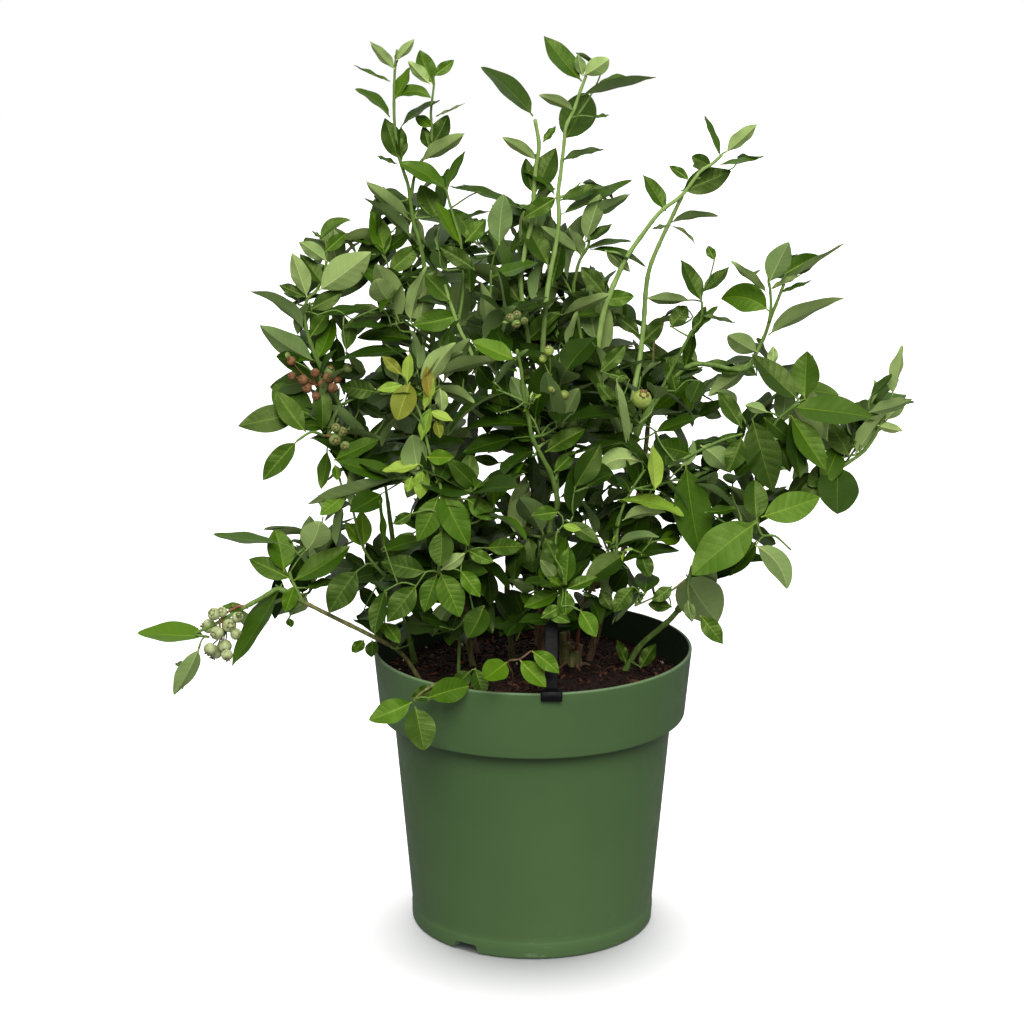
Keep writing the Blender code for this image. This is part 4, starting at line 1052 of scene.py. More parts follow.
heroes(0.015, """395 69 370 41 12 p, 396 60 414 39 10 p, 396 66 397 50 4 d, 433 84 420 50 20 m, 430 84 408 61 13 p, 433 76 454 60 12 m, 390 81 354 65 3 m,
390 117 355 89 10 m 377 96, 394 100 410 67 12 b, 395 98 431 98 12 m 412 83, 401 126 440 100 8 d 418 108, 436 116 465 103 2 g,
431 127 416 116 12 b, 399 160 385 118 22 d, 402 160 401 126 13 d, 430 150 423 126 15 d, 431 147 448 115 20 d, 420 161 465 133 16 g,
446 188 465 151 10 m, 447 190 400 163 17 b 422 167, 398 164 377 156 4 d, 411 220 366 181 14 p, 411 237 364 198 13 g 385 205,
437 217 420 185 22 m, 461 245 436 202 15 b, 460 221 490 211 4 d 475 212, 385 257 371 211 22 b, 380 245 352 240 5 d,
388 274 421 245 20 m, 334 301 381 250 26 d, 465 242 486 219 18 m""")
heroes(-0.015, """320 240 351 220 12 m 333 217, 325 252 346 233 14 m, 322 238 312 231 4 d, 327 261 299 242 16 g, 307 297 292 253 20 g,
324 285 300 254 16 d, 318 291 371 252 34 g, 305 330 250 291 14 g 281 295, 305 297 279 285 12 d, 315 361 260 325 24 g,
310 337 329 309 18 m, 317 315 370 307 10 d, 317 360 334 317 18 b, 310 310 343 292 18 d, 392 325 342 326 8 d, 313 418 275 384 34 m,
302 412 238 426 28 d, 306 432 276 391 23 m, 297 441 263 480 22 m, 327 450 321 489 14 m, 392 303 376 279 26 g, 414 340 357 338 16 d 386 331, 412 351 335 361 13 d 375 348, 352 318 346 350 16 d, 379 392 340 386 20 d, 410 322 427 266 13 p 412 290""")
heroes(-0.030, "452 302 425 275 22 m, 459 315 412 325 24 m, 516 360 471 341 20 b, 475 270 440 247 18 d, 491 277 540 261 14 m")
heroes(0.024, "520 302 500 276 18 d, 470 292 470 266 14 d, 386 419 357 402 12 d, 500 463 474 457 12 d, 532 529 516 509 12 d, 379 609 360 586 16 d, 368 571 343 552 12 d")
heroes(-0.016, "681 191 731 171 27 d")
heroes(-0.010, "499 245 504 194 25 g, 522 208 463 184 9 d, 480 192 449 186 5 d")
heroes(0.005, """533 116 481 67 21 d 514 87, 537 160 502 137 12 p 517 144, 533 193 526 158 15 d, 536 192 556 148 25 d, 555 195 521 170 7 m 545 176,
557 197 523 218 18 m, 549 267 522 220 22 d""")
heroes(0.0, """582 81 544 36 21 m, 584 75 609 59 19 p, 583 76 578 54 12 g, 581 95 656 77 11 g 618 81, 564 140 587 93 36 d, 574 110 539 95 11 g 558 100,
592 117 609 115 3 m, 543 142 556 126 8 m, 562 160 604 149 8 g 580 152, 561 214 632 180 13 m, 560 200 600 185 14 d, 587 217 630 194 14 g,
585 240 600 194 20 g, 585 242 612 224 10 d, 590 187 616 189 3 g, 585 249 632 241 7 d 612 239, 590 249 646 267 8 d 630 250,
605 250 630 272 14 g, 579 252 541 226 15 g, 552 285 562 242 18 d, 605 295 581 267 18 d, 600 300 634 296 17 m, 561 315 610 294 12 g,
575 316 623 306 14 m, 526 342 560 312 22 m, 521 377 548 374 13 y""")
heroes(0.0, """721 156 705 116 7 m, 726 152 757 124 15 p, 720 164 764 156 6 m, 711 167 692 156 14 d, 
689 180 669 166 10 m, 666 211 643 175 16 m, 671 222 719 216 9 g 690 213, 669 225 695 244 3 g 685 228, 669 225 652 229 4 g""")
heroes(0.008, """715 260 708 246 10 m, 702 302 681 260 18 d, 702 292 729 267 13 d, 767 292 731 261 9 p, 769 283 789 242 25 g,
785 274 818 255 20 m, 773 288 844 243 8 g 808 267, 760 270 752 275 3 d, 770 289 802 274 5 g, 781 292 812 280 5 m, 769 311 721 299 30 b 744 289,
768 335 844 298 17 p 801 307, 741 373 705 362 14 d, 690 300 647 298 12 g, 694 330 718 306 10 m, 670 327 687 306 17 d, 700 315 736 323 4 g, 757 352 728 335 22 g, 752 358 708 396 17 g, 640 345 664 322 18 d, 640 335 615 314 14 d, 685 366 693 328 13 d, 692 336 706 306 12 d, 700 368 664 358 14 d, 676 392 668 356 16 d,
670 380 703 367 10 d, 700 380 690 402 20 d, 772 367 773 346 11 p""")
heroes(-0.040, """799 400 752 354 26 d, 805 400 807 351 30 m, 790 407 872 417 29 m, 791 415 826 470 26 m, 752 418 773 491 38 d, 790 415 800 478 20 d,
742 428 718 392 18 d, 767 412 745 405 12 g, 850 457 830 422 24 d, 840 465 808 485 24 d, 838 464 837 514 42 d, 892 395 902 345 13 g,
870 397 892 374 10 d, 892 402 915 402 5 m, 877 425 903 431 11 g, 880 420 850 405 20 d, 885 420 905 400 14 g, 868 412 912 399 14 g, 655 432 700 415 14 d""")
heroes(-0.070, """761 517 820 497 31 b, 757 522 692 575 43 b, 755 545 787 589 24 g 783 560, 757 540 730 576 18 d, 757 520 755 480 26 d,
705 512 737 508 10 d, 686 464 702 560 38 m 691 510, 686 574 718 622 48 g, 700 615 723 644 19 m, 672 586 652 600 14 d, 688 600 692 622 12 g, 672 607 648 604 14 d,
691 454 655 445 24 d, 700 445 731 473 24 g 713 450, 742 437 728 472 22 d""")
heroes(-0.076, "655 491 652 445 16 y")
heroes(-0.050, "600 372 625 345 16 d, 618 408 597 383 15 d, 640 424 612 404 14 d, 630 380 606 372 12 d, 622 520 666 512 12 g 645 507, 617 545 659 537 9 g 635 532")
heroes(-0.060, """643 462 597 473 22 g 618 449, 617 500 684 516 13 y 650 495,
620 562 680 551 14 d 645 545, 641 552 650 577 18 d, 660 540 680 537 16 b, 617 378 628 448 12 p""")
heroes(-0.100, """560 585 540 560 14 g, 566 585 569 546 19 m, 562 588 550 578 10 b, 560 591 524 607 17 b, 566 590 566 615 18 m, 566 589 597 577 14 m,
545 610 570 622 14 m, 580 610 596 637 19 b, 562 606 541 618 13 m, 556 560 545 538 14 d""")
heroes(-0.080, """568 522 600 543 16 d, 486 548 524 546 18 m, 468 550 494 562 14 m, 484 606 468 638 26 d, 384 622 400 643 16 m, 633 586 614 612 18 d,
600 590 612 610 14 d""")
heroes(-0.010, "626 664 617 640 11 m, 640 668 656 644 15 d")
heroes(-0.084, "441 530 440 566 25 d")
heroes(-0.090, """559 512 531 516 16 m, 562 525 581 530 8 y, 545 452 585 429 20 m, 554 472 576 451 15 m, 535 440 514 427 18 m""")
heroes(-0.108, "507 662 484 679 26 b, 520 660 546 687 21 b")
heroes(-0.116, "532 651 559 673 18 b")
heroes(-0.088, "475 668 484 697 18 d, 470 671 454 688 17 d")
heroes(-0.120, "412 702 369 720 25 b, 428 698 469 686 27 m, 415 706 424 750 31 d, 438 688 411 698 17 d")
heroes(-0.090, """427 572 381 562 24 d, 417 585 387 622 26 d, 437 574 424 612 22 m, 440 572 460 617 28 m, 460 570 480 597 18 b, 441 570 465 553 15 g,
385 590 374 634 18 d, 385 548 380 500 7 m, 412 513 393 524 12 d""")
heroes(-0.088, "439 494 417 541 27 m, 442 490 469 546 30 b, 467 499 497 519 20 b")
heroes(-0.072, """420 464 382 471 13 y, 424 467 420 499 17 y, 412 476 407 492 10 y, 426 457 454 457 16 b, 430 407 421 441 13 y, 430 411 453 421 10 y,
436 420 440 438 11 z, 402 375 382 356 12 z, 407 384 410 353 12 y, 402 385 377 390 11 y, 410 382 397 420 26 z, 431 400 427 366 14 z,
424 410 434 378 10 y, 440 388 442 412 14 g""")
heroes(-0.050, """334 460 380 439 16 m, 400 477 335 460 20 m, 335 465 337 480 10 b, 397 477 308 504 14 g, 352 507 352 467 12 p, 346 494 320 515 17 b,
341 500 336 545 10 g, 364 547 361 510 18 b, 364 547 345 522 14 b""")
heroes(-0.045, """306 550 320 521 30 p, 280 543 213 534 11 m, 284 572 275 530 28 b, 291 579 249 559 22 m, 292 581 350 546 24 m, 358 570 329 613 30 d,
282 583 232 666 20 m, 294 585 285 612 16 b, 288 618 292 627 8 d, 305 588 335 579 9 d, 207 636 137 633 22 b, 199 648 174 695 20 g,
245 608 222 606 9 m, 364 640 352 652 12 m, 372 640 372 657 14 d""")


def shape_hero(index, item, gen):
    """Turns a traced leaf into one in space: a foot, a tip and a top direction that give the outline seen."""
    depth, (bu, bv, tu, tv), seen_width, kind, middle = item
    foot_line = spot(bu, bv, depth)
    # The foot sits on the nearest traced shoot, if one passes close by in the picture.
    near = None
    for path, radii in SKELETON:
        u, v, _ = project(path)
        d = np.hypot(u - bu, v - bv)
        k = int(d.argmin())
        if d[k] < 8 and abs(path[k][1] - depth) < 0.045 and (near is None or d[k] < near[0]):
            near = (d[k], path[k])
    if near is not None:
        foot_line = spot(bu, bv, near[1][1] - 0.001)
    scale = float((foot_line - CAMERA_AT) @ AHEAD) / FOCAL_PX
    long = math.hypot(tu - bu, tv - bv) * scale
    wide = seen_width * scale
    under_seen = kind in "gp"
    slim = 0.43 if kind not in "b" else 0.46
    length = max(long * 1.03, min(wide / 0.56, long * 1.5))
    width = max(wide * 1.02, min(slim * length, wide * 2.4))
    lean = math.sqrt(max(length**2 - long**2, 0.0))
    rising = tv < bv
    away = rising if not under_seen else not rising
    lean = lean if away else -lean
    tip = spot(tu, tv, foot_line[1] + lean * 0.97)
    along = unit(tip - foot_line)
    facing = unit(CAMERA_AT - (foot_line + tip) / 2)
    front = unit(facing - along * (facing @ along))
    side = np.cross(along, front)
    angle = math.acos(min(1.0, wide / width))
    options = [front * math.cos(a) + side * math.sin(a) for a in (angle, -angle)]
    if under_seen:
        options = [-o for o in options]
    up = max(options, key=lambda o: o[2])
    bend = 0.0
    if middle is not None:
        centre = spot(middle[0], middle[1], (foot_line[1] + tip[1]) / 2)
        off = centre - (foot_line + tip) / 2
        bend = 0.5 * float(off @ np.cross(along, up)) / length
        bow_extra = 0.5 * float(off @ up) / length
    else:
        bow_extra = 0.0
    plain = abs(bend) + abs(bow_extra) < 0.01
    shown = math.sqrt(max(0.0, 1 - float(up @ facing) ** 2))  # how much of a bow would show as a shift
    # A traced leaf's kind is how dark or bright it showed, so the d, m and b tones hold partly the leaf's own tone and
    # partly painted light and shade.
    palette = {
        "d": ("d1", "d2", "d3", "d2"),
        "m": ("m1", "m2", "m3", "m1"),
        "b": ("b1", "b2", "b3", "b1"),
        "g": ("m3", "m2", "g1", "m1"),
        "p": ("m3", "g1", "g2"),
        "y": ("y1", "y2"),
        "z": ("z1", "z2"),
    }[kind]
    tone = palette[int(gen.integers(len(palette)))]
    below = {"y": "y2", "z": "z2", "p": "p1"}.get(kind, ("u1", "u2", "u3")[int(gen.integers(3))])
    big = seen_width > 30 and kind in "bm"
    return {
        "foot": foot_line,
        "tip": tip,
        "up": up,
        "width": width,
        "bow": (gen.uniform(0.03, 0.07) * max(0.0, 1 - 1.6 * shown) if plain else 0.0) + bow_extra,
        "level": 1.0,
        "bend": bend + (gen.normal(0, 0.018) if plain else 0.0),
        "fold": gen.uniform(0.10, 0.30) * (0.6 if big else 1.0),
        "twist": gen.normal(0, 0.22),
        "wave": gen.uniform(0.0002, 0.0007),
        "phase": gen.uniform(0, 1),
        "relief": 0.00022 if big else gen.uniform(0.00012, 0.00020),
        "round": 0.9 if seen_width > 0.62 * math.hypot(tu - bu, tv - bv) else gen.uniform(0.0, 0.5),
        "top": TONE_SLOT[tone],
        "under": TONE_SLOT[below],
        "attached": near[1] if near is not None and near[0] < 8 else None,
    }


gen = np.random.default_rng(33)
hero_leaves = [shape_hero(index, item, gen) for index, item in enumerate(HERO)]


def skeleton_arrays():
    return np.vstack([p for p, _ in SKELETON]), np.concatenate([r for _, r in SKELETON])


# A leaf whose foot is on no shoot gets a twig of its own from the nearest wood below it.
gen = np.random.default_rng(35)
waiting = [leaf for leaf in hero_leaves if leaf["attached"] is None]
while waiting:
    points, radii = skeleton_arrays()
    best = None
    for leaf in waiting:
        d = points - leaf["foot"]
        cost = np.linalg.norm(d, axis=1) + 0.8 * np.maximum(0.0, d[:, 2]) + 0.15 * np.abs(d[:, 1])
        k = int(cost.argmin())
        if best is None or cost[k] < best[0]:
            best = (cost[k], leaf, points[k], radii[k])
    _, leaf, start, radius = best
    waiting = [w for w in waiting if w is not leaf]
    gap = leaf["foot"] - start
    span = float(np.linalg.norm(gap))
    if span > 0.0025:
        along = unit(leaf["tip"] - leaf["foot"])
        end = leaf["foot"] + along * 0.0008
        middle = (start + end) / 2 + np.array((0, 0, 0.10 * span)) + gen.normal(0, 0.03 * span, 3) - along * 0.10 * span
        path = smooth_path([start, middle, end], 0.003)
        r0 = min(0.0012, max(0.0006, radius * 0.7, 0.010 * span))
        shape = np.linspace(r0, 0.0005, len(path))
        tube(TWIGS, path, shape, 6, GREEN)
        remember(path, shape)

CLUSTERS = [
    # (berries as u, v, radius in px), depth, knot of the cluster, skin, calyx
    ([(214, 614, 6.5), (209, 626, 7.5), (217, 633, 7), (229, 625, 7.5), (215, 652, 7.5), (225, 646, 7), (227, 655, 6), (210, 649, 6.5), (222, 612, 5.5), (238, 617, 6), (236, 634, 6)], -0.046, (226, 630), 0, 3),
    ([(285, 357, 6), (329, 371, 6), (348, 368, 5)], -0.022, (320, 380), 1, 2),
    ([(642, 399, 9.5)], -0.066, (641, 412), 4, 2),
    ([(553, 388, 5), (564, 395, 5), (549, 351, 5), (543, 359, 4)], -0.066, (550, 376), 4, 3),
    ([(335, 440, 6), (342, 432, 5.5), (345, 446, 5), (336, 428, 5)], -0.034, (338, 440), 1, 2),
    ([(510, 318, 4.5), (517, 315, 4.5), (516, 324, 4.5), (524, 321, 4)], -0.040, (517, 328), 1, 2),
]

# ---------------------------------------------------------------- where the seeded leaves may show
GAPS = [
    (410, 130, 9, 22), (455, 170, 12, 18), (490, 140, 22, 45), (428, 230, 4, 10), (361, 301, 16, 11), (379, 272, 6, 8), (400, 266, 3, 6),
    (355, 340, 5, 8), (372, 366, 10, 9), (336, 393, 6, 8), (465, 278, 5, 8), (512, 286, 8, 6), (626, 331, 11, 11), (662, 340, 8, 12),
    (703, 362, 16, 17), (622, 396, 8, 6), (586, 360, 2, 8), (371, 413, 11, 8), (398, 503, 14, 12), (376, 528, 6, 17), (398, 530, 9, 8),
    (415, 551, 6, 5), (455, 481, 5, 6), (487, 470, 10, 8), (503, 460, 8, 5), (451, 436, 2, 5), (355, 557, 10, 8),
    (361, 596, 9, 6), (387, 581, 2, 3), (441, 601, 11, 6), (503, 568, 4, 9), (500, 583, 2, 8), (287, 588, 5, 4), (522, 522, 4, 8),
    (527, 563, 5, 3), (584, 470, 2, 10), (600, 426, 3, 6), (650, 432, 10, 7), (663, 428, 8, 6), (698, 428, 18, 11), (741, 487, 4, 5),
    (785, 478, 4, 7), (690, 550, 10, 12), (668, 561, 12, 11), (680, 592, 7, 8), (604, 593, 4, 6), (651, 608, 15, 8), (748, 393, 14, 13), (370, 424, 8, 10),
    (724, 431, 8, 9), (702, 465, 9, 8), (328, 530, 6, 14), (376, 275, 6, 7), (635, 567, 8, 8), (657, 527, 10, 6), (622, 342, 12, 8),
    (480, 222, 9, 8), (508, 245, 5, 5), (531, 250, 5, 7), (580, 287, 7, 7), (790, 362, 6, 8), (672, 342, 6, 8),
]
OUTLINE = [
    (435, 171), (448, 178), (450, 203), (468, 231), (483, 218), (492, 196), (502, 191), (522, 203), (543, 209), (538, 222), (561, 224),
    (580, 223), (577, 209), (557, 208), (554, 193), (580, 181), (596, 187), (605, 203), (589, 225), (598, 243), (584, 252), (565, 246),
    (576, 269), (565, 284), (583, 293), (588, 275), (598, 270), (627, 289), (645, 321), (663, 333), (648, 361), (651, 369), (662, 355),
    (686, 350), (698, 364), (695, 376), (706, 383), (729, 359), (732, 335), (743, 330), (757, 341), (772, 339), (787, 370), (800, 354),
    (812, 354), (827, 389), (867, 398), (886, 382), (900, 398), (892, 428), (847, 466), (852, 491), (841, 507), (812, 510), (793, 523),
    (760, 528), (784, 545), (784, 567), (774, 573), (754, 554), (742, 572), (719, 578), (724, 603), (711, 627), (701, 627), (666, 601),
    (667, 591), (698, 559), (681, 536), (653, 564), (630, 561), (632, 572), (655, 582), (648, 600), (626, 612), (606, 604), (590, 622),
    (560, 616), (540, 608), (512, 618), (488, 612), (468, 622), (440, 622), (420, 628), (396, 636), (380, 640), (350, 622), (353, 611),
    (365, 606), (369, 594), (347, 609), (330, 609), (324, 588), (330, 569), (307, 600), (306, 610), (292, 618), (263, 621), (245, 639),
    (232, 626), (224, 610), (249, 608), (273, 584), (251, 565), (269, 550), (273, 532), (300, 525), (317, 522), (329, 544), (346, 545),
    (344, 564), (357, 571), (358, 554), (363, 544), (384, 545), (404, 536), (398, 521), (410, 507), (401, 492), (377, 506), (341, 519),
    (330, 520), (323, 497), (346, 479), (319, 471), (324, 450), (310, 436), (289, 428), (259, 430), (250, 421), (272, 401), (281, 381),
    (279, 361), (285, 350), (276, 340), (283, 325), (297, 331), (279, 295), (296, 277), (293, 261), (303, 244), (330, 221), (340, 224),
    (350, 247), (368, 240), (371, 220), (386, 216), (388, 198), (403, 197),
]
CELL = 2  # picture pixels to a cell of the maps below
SIDE = IMAGE_PX // CELL


def inside(outline):
    """Which cells' middles lie inside an outline."""
    x, y = np.meshgrid((np.arange(SIDE) + 0.5) * CELL, (np.arange(SIDE) + 0.5) * CELL)
    found = np.zeros((SIDE, SIDE), bool)
    for (x1, y1), (x2, y2) in zip(outline, outline[1:] + outline[:1]):
        if y1 == y2:
            continue
        crosses = ((y1 > y) != (y2 > y)) & (x < (x2 - x1) * (y - y1) / (y2 - y1) + x1)
        found ^= crosses
    return found


def grown(mask, steps):
    for _ in range(steps):
        wider = mask.copy()
        wider[1:] |= mask[:-1]
        wider[:-1] |= mask[1:]
        wider[:, 1:] |= mask[:, :-1]
        wider[:, :-1] |= mask[:, 1:]
        mask = wider
    return mask


in_outline = inside(OUTLINE)
allowed = in_outline.copy()
front_depth = np.full((SIDE, SIDE), np.inf)  # depth of the traced leaves and shoots


def cells_of(points):
    u, v, depth = project(points.reshape(-1, 3))
    i = np.clip((v / CELL).astype(int), 0, SIDE - 1)
    j = np.clip((u / CELL).astype(int), 0, SIDE - 1)
    return i, j, depth


def splat(grid):
    """Marks the cells that a leaf's grid of points covers, denser than its cells."""
    rows, columns = grid.shape[:2]
    a = np.linspace(0, rows - 1, 40)
    b = np.linspace(0, columns - 1, 24)
    ia, ib = np.minimum(a.astype(int), rows - 2), np.minimum(b.astype(int), columns - 2)
    fa, fb = (a - ia)[:, None, None], (b - ib)[None, :, None]
    g = grid
    dense = (g[ia][:, ib] * (1 - fa) + g[ia + 1][:, ib] * fa) * (1 - fb) + (g[ia][:, ib + 1] * (1 - fa) + g[ia + 1][:, ib + 1] * fa) * fb
    i, j, depth = cells_of(dense)
    np.minimum.at(front_depth, (i, j), depth)


HERO_SETS = {}
scratch = Soup()
hero_grids = make_leaves(scratch, pack_leaves(hero_leaves), True)
for grid in hero_grids:
    splat(grid)
leaf_cover = np.isfinite(front_depth)
allowed |= grown(leaf_cover, 1)
# Shoots that stay in sight, each down to a height in the picture.
for name, lowest in (("spire_left", 265), ("spire_mid", 290), ("spire_centre", 316), ("spire_right", 328), ("spire_right_inner", 336), ("shoulder_right", 372), ("front_on", 600), ("inner_light", 388)):
    path, radii = SHOOTS[name]
    seen = project(path)[1] < lowest
    for across in (-1.0, -0.3, 0.3, 1.0):
        i, j, depth = cells_of((path + np.array((1.0, 0, 0)) * (radii * across)[:, None])[seen])
        np.minimum.at(front_depth, (i, j), depth)
for berries, depth, knot, skin, crown in CLUSTERS:  # nor may a leaf hide the fruit
    for u, v, r in berries:
        round_it = np.array([spot(u + dx, v + dy, depth - 0.006) for dx in np.arange(-r, r + 1, 1.5) for dy in np.arange(-r, r + 1, 1.5) if dx * dx + dy * dy <= r * r])
        i, j, near_it = cells_of(round_it)
        np.minimum.at(front_depth, (i, j), near_it)
covered = np.isfinite(front_depth)
rows_, columns_ = np.mgrid[:SIDE, :SIDE]
for cx, cy, rx, ry in GAPS:
    hole = ((columns_ + 0.5) * CELL - cx) ** 2 / (rx + 1.0) ** 2 + ((rows_ + 0.5) * CELL - cy) ** 2 / (ry + 1.0) ** 2 < 1
    allowed &= ~(hole & ~leaf_cover)
protected = front_depth.copy()


# ---------------------------------------------------------------- masses
MASSES = {
    # centre, half sizes, lean about Y, swing about Z, number of shoots
    "spire_left": ((-0.083, 0.015, 0.562), (0.036, 0.038, 0.065), 3, 0, 6),
    "spire_centre": ((0.022, 0.000, 0.560), (0.058, 0.046, 0.0665), 6, 0, 7),
    "spire_right": ((0.117, 0.000, 0.537), (0.044, 0.040, 0.040), 30, 0, 4),
    "spire_back": ((-0.025, 0.110, 0.500), (0.050, 0.048, 0.062), 0, 0, 9),
    "shoulder_right": ((0.158, 0.010, 0.437), (0.058, 0.056, 0.054), 35, 0, 6),
    "shoulder_left": ((-0.134, 0.000, 0.448), (0.059, 0.058, 0.062), -10, 0, 8),
    "shoulder_back_right": ((0.090, 0.115, 0.425), (0.066, 0.060, 0.070), 15, 0, 11),
    "shoulder_back_left": ((-0.085, 0.125, 0.395), (0.066, 0.058, 0.072), -12, 0, 11),
    "arm_right": ((0.180, -0.030, 0.358), (0.055, 0.058, 0.058), 20, 0, 7),
    "arm_right_tip": ((0.234, -0.025, 0.376), (0.026, 0.030, 0.044), 25, 0, 3),
    "low_right": ((0.134, -0.062, 0.289), (0.054, 0.060, 0.062), -8, 0, 8),
    "side_left": ((-0.146, -0.030, 0.362), (0.056, 0.054, 0.046), 0, 0, 8),
    "low_left_whorl": ((-0.164, -0.045, 0.268), (0.052, 0.044, 0.036), 8, 0, 6),
    "low_left_tip": ((-0.240, -0.045, 0.220), (0.037, 0.030, 0.029), -28, 0, 3),
    "crown_upper_left": ((-0.052, -0.010, 0.448), (0.052, 0.062, 0.060), 0, 0, 11),
    "crown_upper_right": ((0.038, -0.010, 0.448), (0.050, 0.062, 0.060), 0, 0, 11),
    "crown_front_left": ((-0.052, -0.065, 0.366), (0.056, 0.066, 0.060), 0, 0, 13),
    "crown_front_right": ((0.054, -0.062, 0.364), (0.064, 0.066, 0.060), 0, 0, 14),
    "low_left": ((-0.080, -0.030, 0.262), (0.050, 0.062, 0.056), 0, 0, 10),
    "low_front": ((0.030, -0.055, 0.272), (0.060, 0.062, 0.052), 0, 0, 12),
    "back_left": ((-0.070, 0.095, 0.290), (0.078, 0.074, 0.064), 0, 0, 13),
    "back_right": ((0.085, 0.085, 0.305), (0.080, 0.076, 0.072), 0, 0, 14),
    "heart": ((0.000, 0.040, 0.365), (0.066, 0.066, 0.066), 0, 0, 9),
    "drape_front": ((-0.082, -0.116, 0.192), (0.040, 0.034, 0.027), 0, 40, 0),
}


def turning(lean, swing):
    a, b = math.radians(lean), math.radians(swing)
    about_y = np.array([[math.cos(a), 0, math.sin(a)], [0, 1, 0], [-math.sin(a), 0, math.cos(a)]])
    about_z = np.array([[math.cos(b), -math.sin(b), 0], [math.sin(b), math.cos(b), 0], [0, 0, 1]])
    return about_z @ about_y


def how_deep(points, mass):
    """1 on the surface of a mass's ellipsoid, less inside it."""
    centre, half, lean, swing, _ = MASSES[mass]
    local = (np.asarray(points) - centre) @ turning(lean, swing) / half
    return np.linalg.norm(local, axis=-1)


LOW, HIGH = np.array(CAD_BOX[0]), np.array(CAD_BOX[1])


def bad_share(points, may_hide):
    """How much of a leaf or twig shows where the photograph has none, or hides a traced leaf."""
    i, j, depth = cells_of(points)
    off = ~allowed[i, j]
    hides = covered[i, j] & (depth < protected[i, j] - 0.001)
    strict = 1.0 if in_outline[i[len(i) // 2], j[len(j) // 2]] else 4.0
    return off.mean() * strict, hides.mean() if not may_hide else 0.0


def clear_of_pot(points):
    p = points.reshape(-1, 3)
    r = np.hypot(p[:, 0], p[:, 1])
    if (p[:, 2] < 0.196).any() and ((r < 0.122) & (p[:, 2] < 0.206)).any():
        return False
    if ((r < 0.118) & (p[:, 2] < 0.2065) & (r > 0.104)).any() or (p[:, 2] < soil_height(r) + 0.003)[r < 0.105].any():
        return False
    near_clip = (np.abs(p[:, 0] - CLIP_X) < 0.0065) & (p[:, 1] < -0.060) & (p[:, 2] < 0.236)
    if near_clip.any():
        return False
    return bool(((p > LOW - 0.004) & (p < HIGH + 0.004)).all())


def shoot_leaves(path, count, gen, size, outward):
    """Leaves round a shoot by the golden angle: small at the tip, largest in the middle."""
    length = np.concatenate([[0], np.cumsum(np.linalg.norm(np.diff(path, axis=0), axis=1))])
    total = length[-1]
    tangents, a, b = frames_along(path)
    first = gen.uniform(0, math.tau)
    made = []
    places = np.linspace(total * 0.24, total, count)
    tone_family = gen.choice(["d", "m", "m", "b", "d"]) if outward < 0.5 else gen.choice(["m", "m", "b", "d"])
    for index, place in enumerate(places):
        k = int(np.searchsorted(length, place).clip(0, len(path) - 1))
        share = place / total
        angle = first + index * math.radians(137.5) + gen.normal(0, 0.15)
        radial = a[k] * math.cos(angle) + b[k] * math.sin(angle)
        tilt = math.radians(gen.uniform(48, 74)) * (1 - 0.42 * max(0.0, (share - 0.6) / 0.4))
        way = unit(tangents[k] * math.cos(tilt) + radial * math.sin(tilt) + np.array((0, 0, gen.uniform(-0.12, 0.16))))
        leaf = size * gen.uniform(0.82, 1.12) * (0.80 + 0.45 * math.sin(math.pi * min(1.0, share * 0.95)))
        if share > 0.93:
            leaf *= gen.uniform(0.62, 0.9)
        up = tangents[k] * 0.75 + np.array((0, -0.12, 0.75)) + gen.normal(0, 0.22, 3)
        kind = gen.uniform()
        if tone_family == "d":
            tone = gen.choice(["d1", "d2", "d3", "m1"])
        elif tone_family == "m":
            tone = gen.choice(["m1", "m2", "m3", "d2"])
        else:
            tone = gen.choice(["b1", "b2", "b3", "m2"])
        made.append(
            {
                "foot": path[k] + radial * 0.0004,
                "tip": path[k] + way * leaf,
                "up": up,
                "width": leaf * gen.uniform(0.40, 0.52),
                "bow": gen.uniform(0.02, 0.10),
                "bend": gen.normal(0, 0.025),
                "fold": gen.uniform(0.06, 0.34),
                "level": 0.0,
                "twist": gen.normal(0, 0.3),
                "wave": gen.uniform(0.0002, 0.0007),
                "phase": gen.uniform(0, 1),
                "relief": gen.uniform(0.00010, 0.00018),
                "round": gen.uniform(0.0, 0.6),
                "top": TONE_SLOT[tone_at(path[k] + way * leaf * 0.5, tone, gen)],
                "under": TONE_SLOT[str(gen.choice(["u1", "u2", "u3"]))],
            }
        )
    return made


def tone_at(place, tone, gen):
    """Leaves deep in the crown and low in it get darker tones, and high ones mid tones: partly the older, darker
    leaves, partly painted shade of the crown.
    """
    t = float(np.linalg.norm((place - np.array((0.0, 0.010, 0.365))) / (0.215, 0.150, 0.205)))
    if t < 0.50 or (t < 0.72 and gen.uniform() < 0.55):
        return str(gen.choice(["k1", "k2", "k2", "d1"]))
    if t < 0.90 and gen.uniform() < 0.5:
        return str(gen.choice(["d1", "d2", "d3"]))
    if place[2] < 0.335 and gen.uniform() < 0.65:
        return str(gen.choice(["k2", "d1", "d2"]))
    if place[2] > 0.43 and gen.uniform() < 0.55:
        return str(gen.choice(["m1", "m2", "m3"]))
    return str(tone)


def outline_points(leaf):
    """A few points of a leaf for quick tests."""
    along = leaf["tip"] - leaf["foot"]
    across = unit(np.cross(along, leaf["up"])) * leaf["width"] / 2
    return np.array([leaf["foot"] + along * s + across * c for s, c in ((0.1, 0), (0.3, 0.8), (0.3, -0.8), (0.5, 1), (0.5, 0), (0.5, -1), (0.7, 0.8), (0.7, -0.8), (0.88, 0), (1.0, 0))])


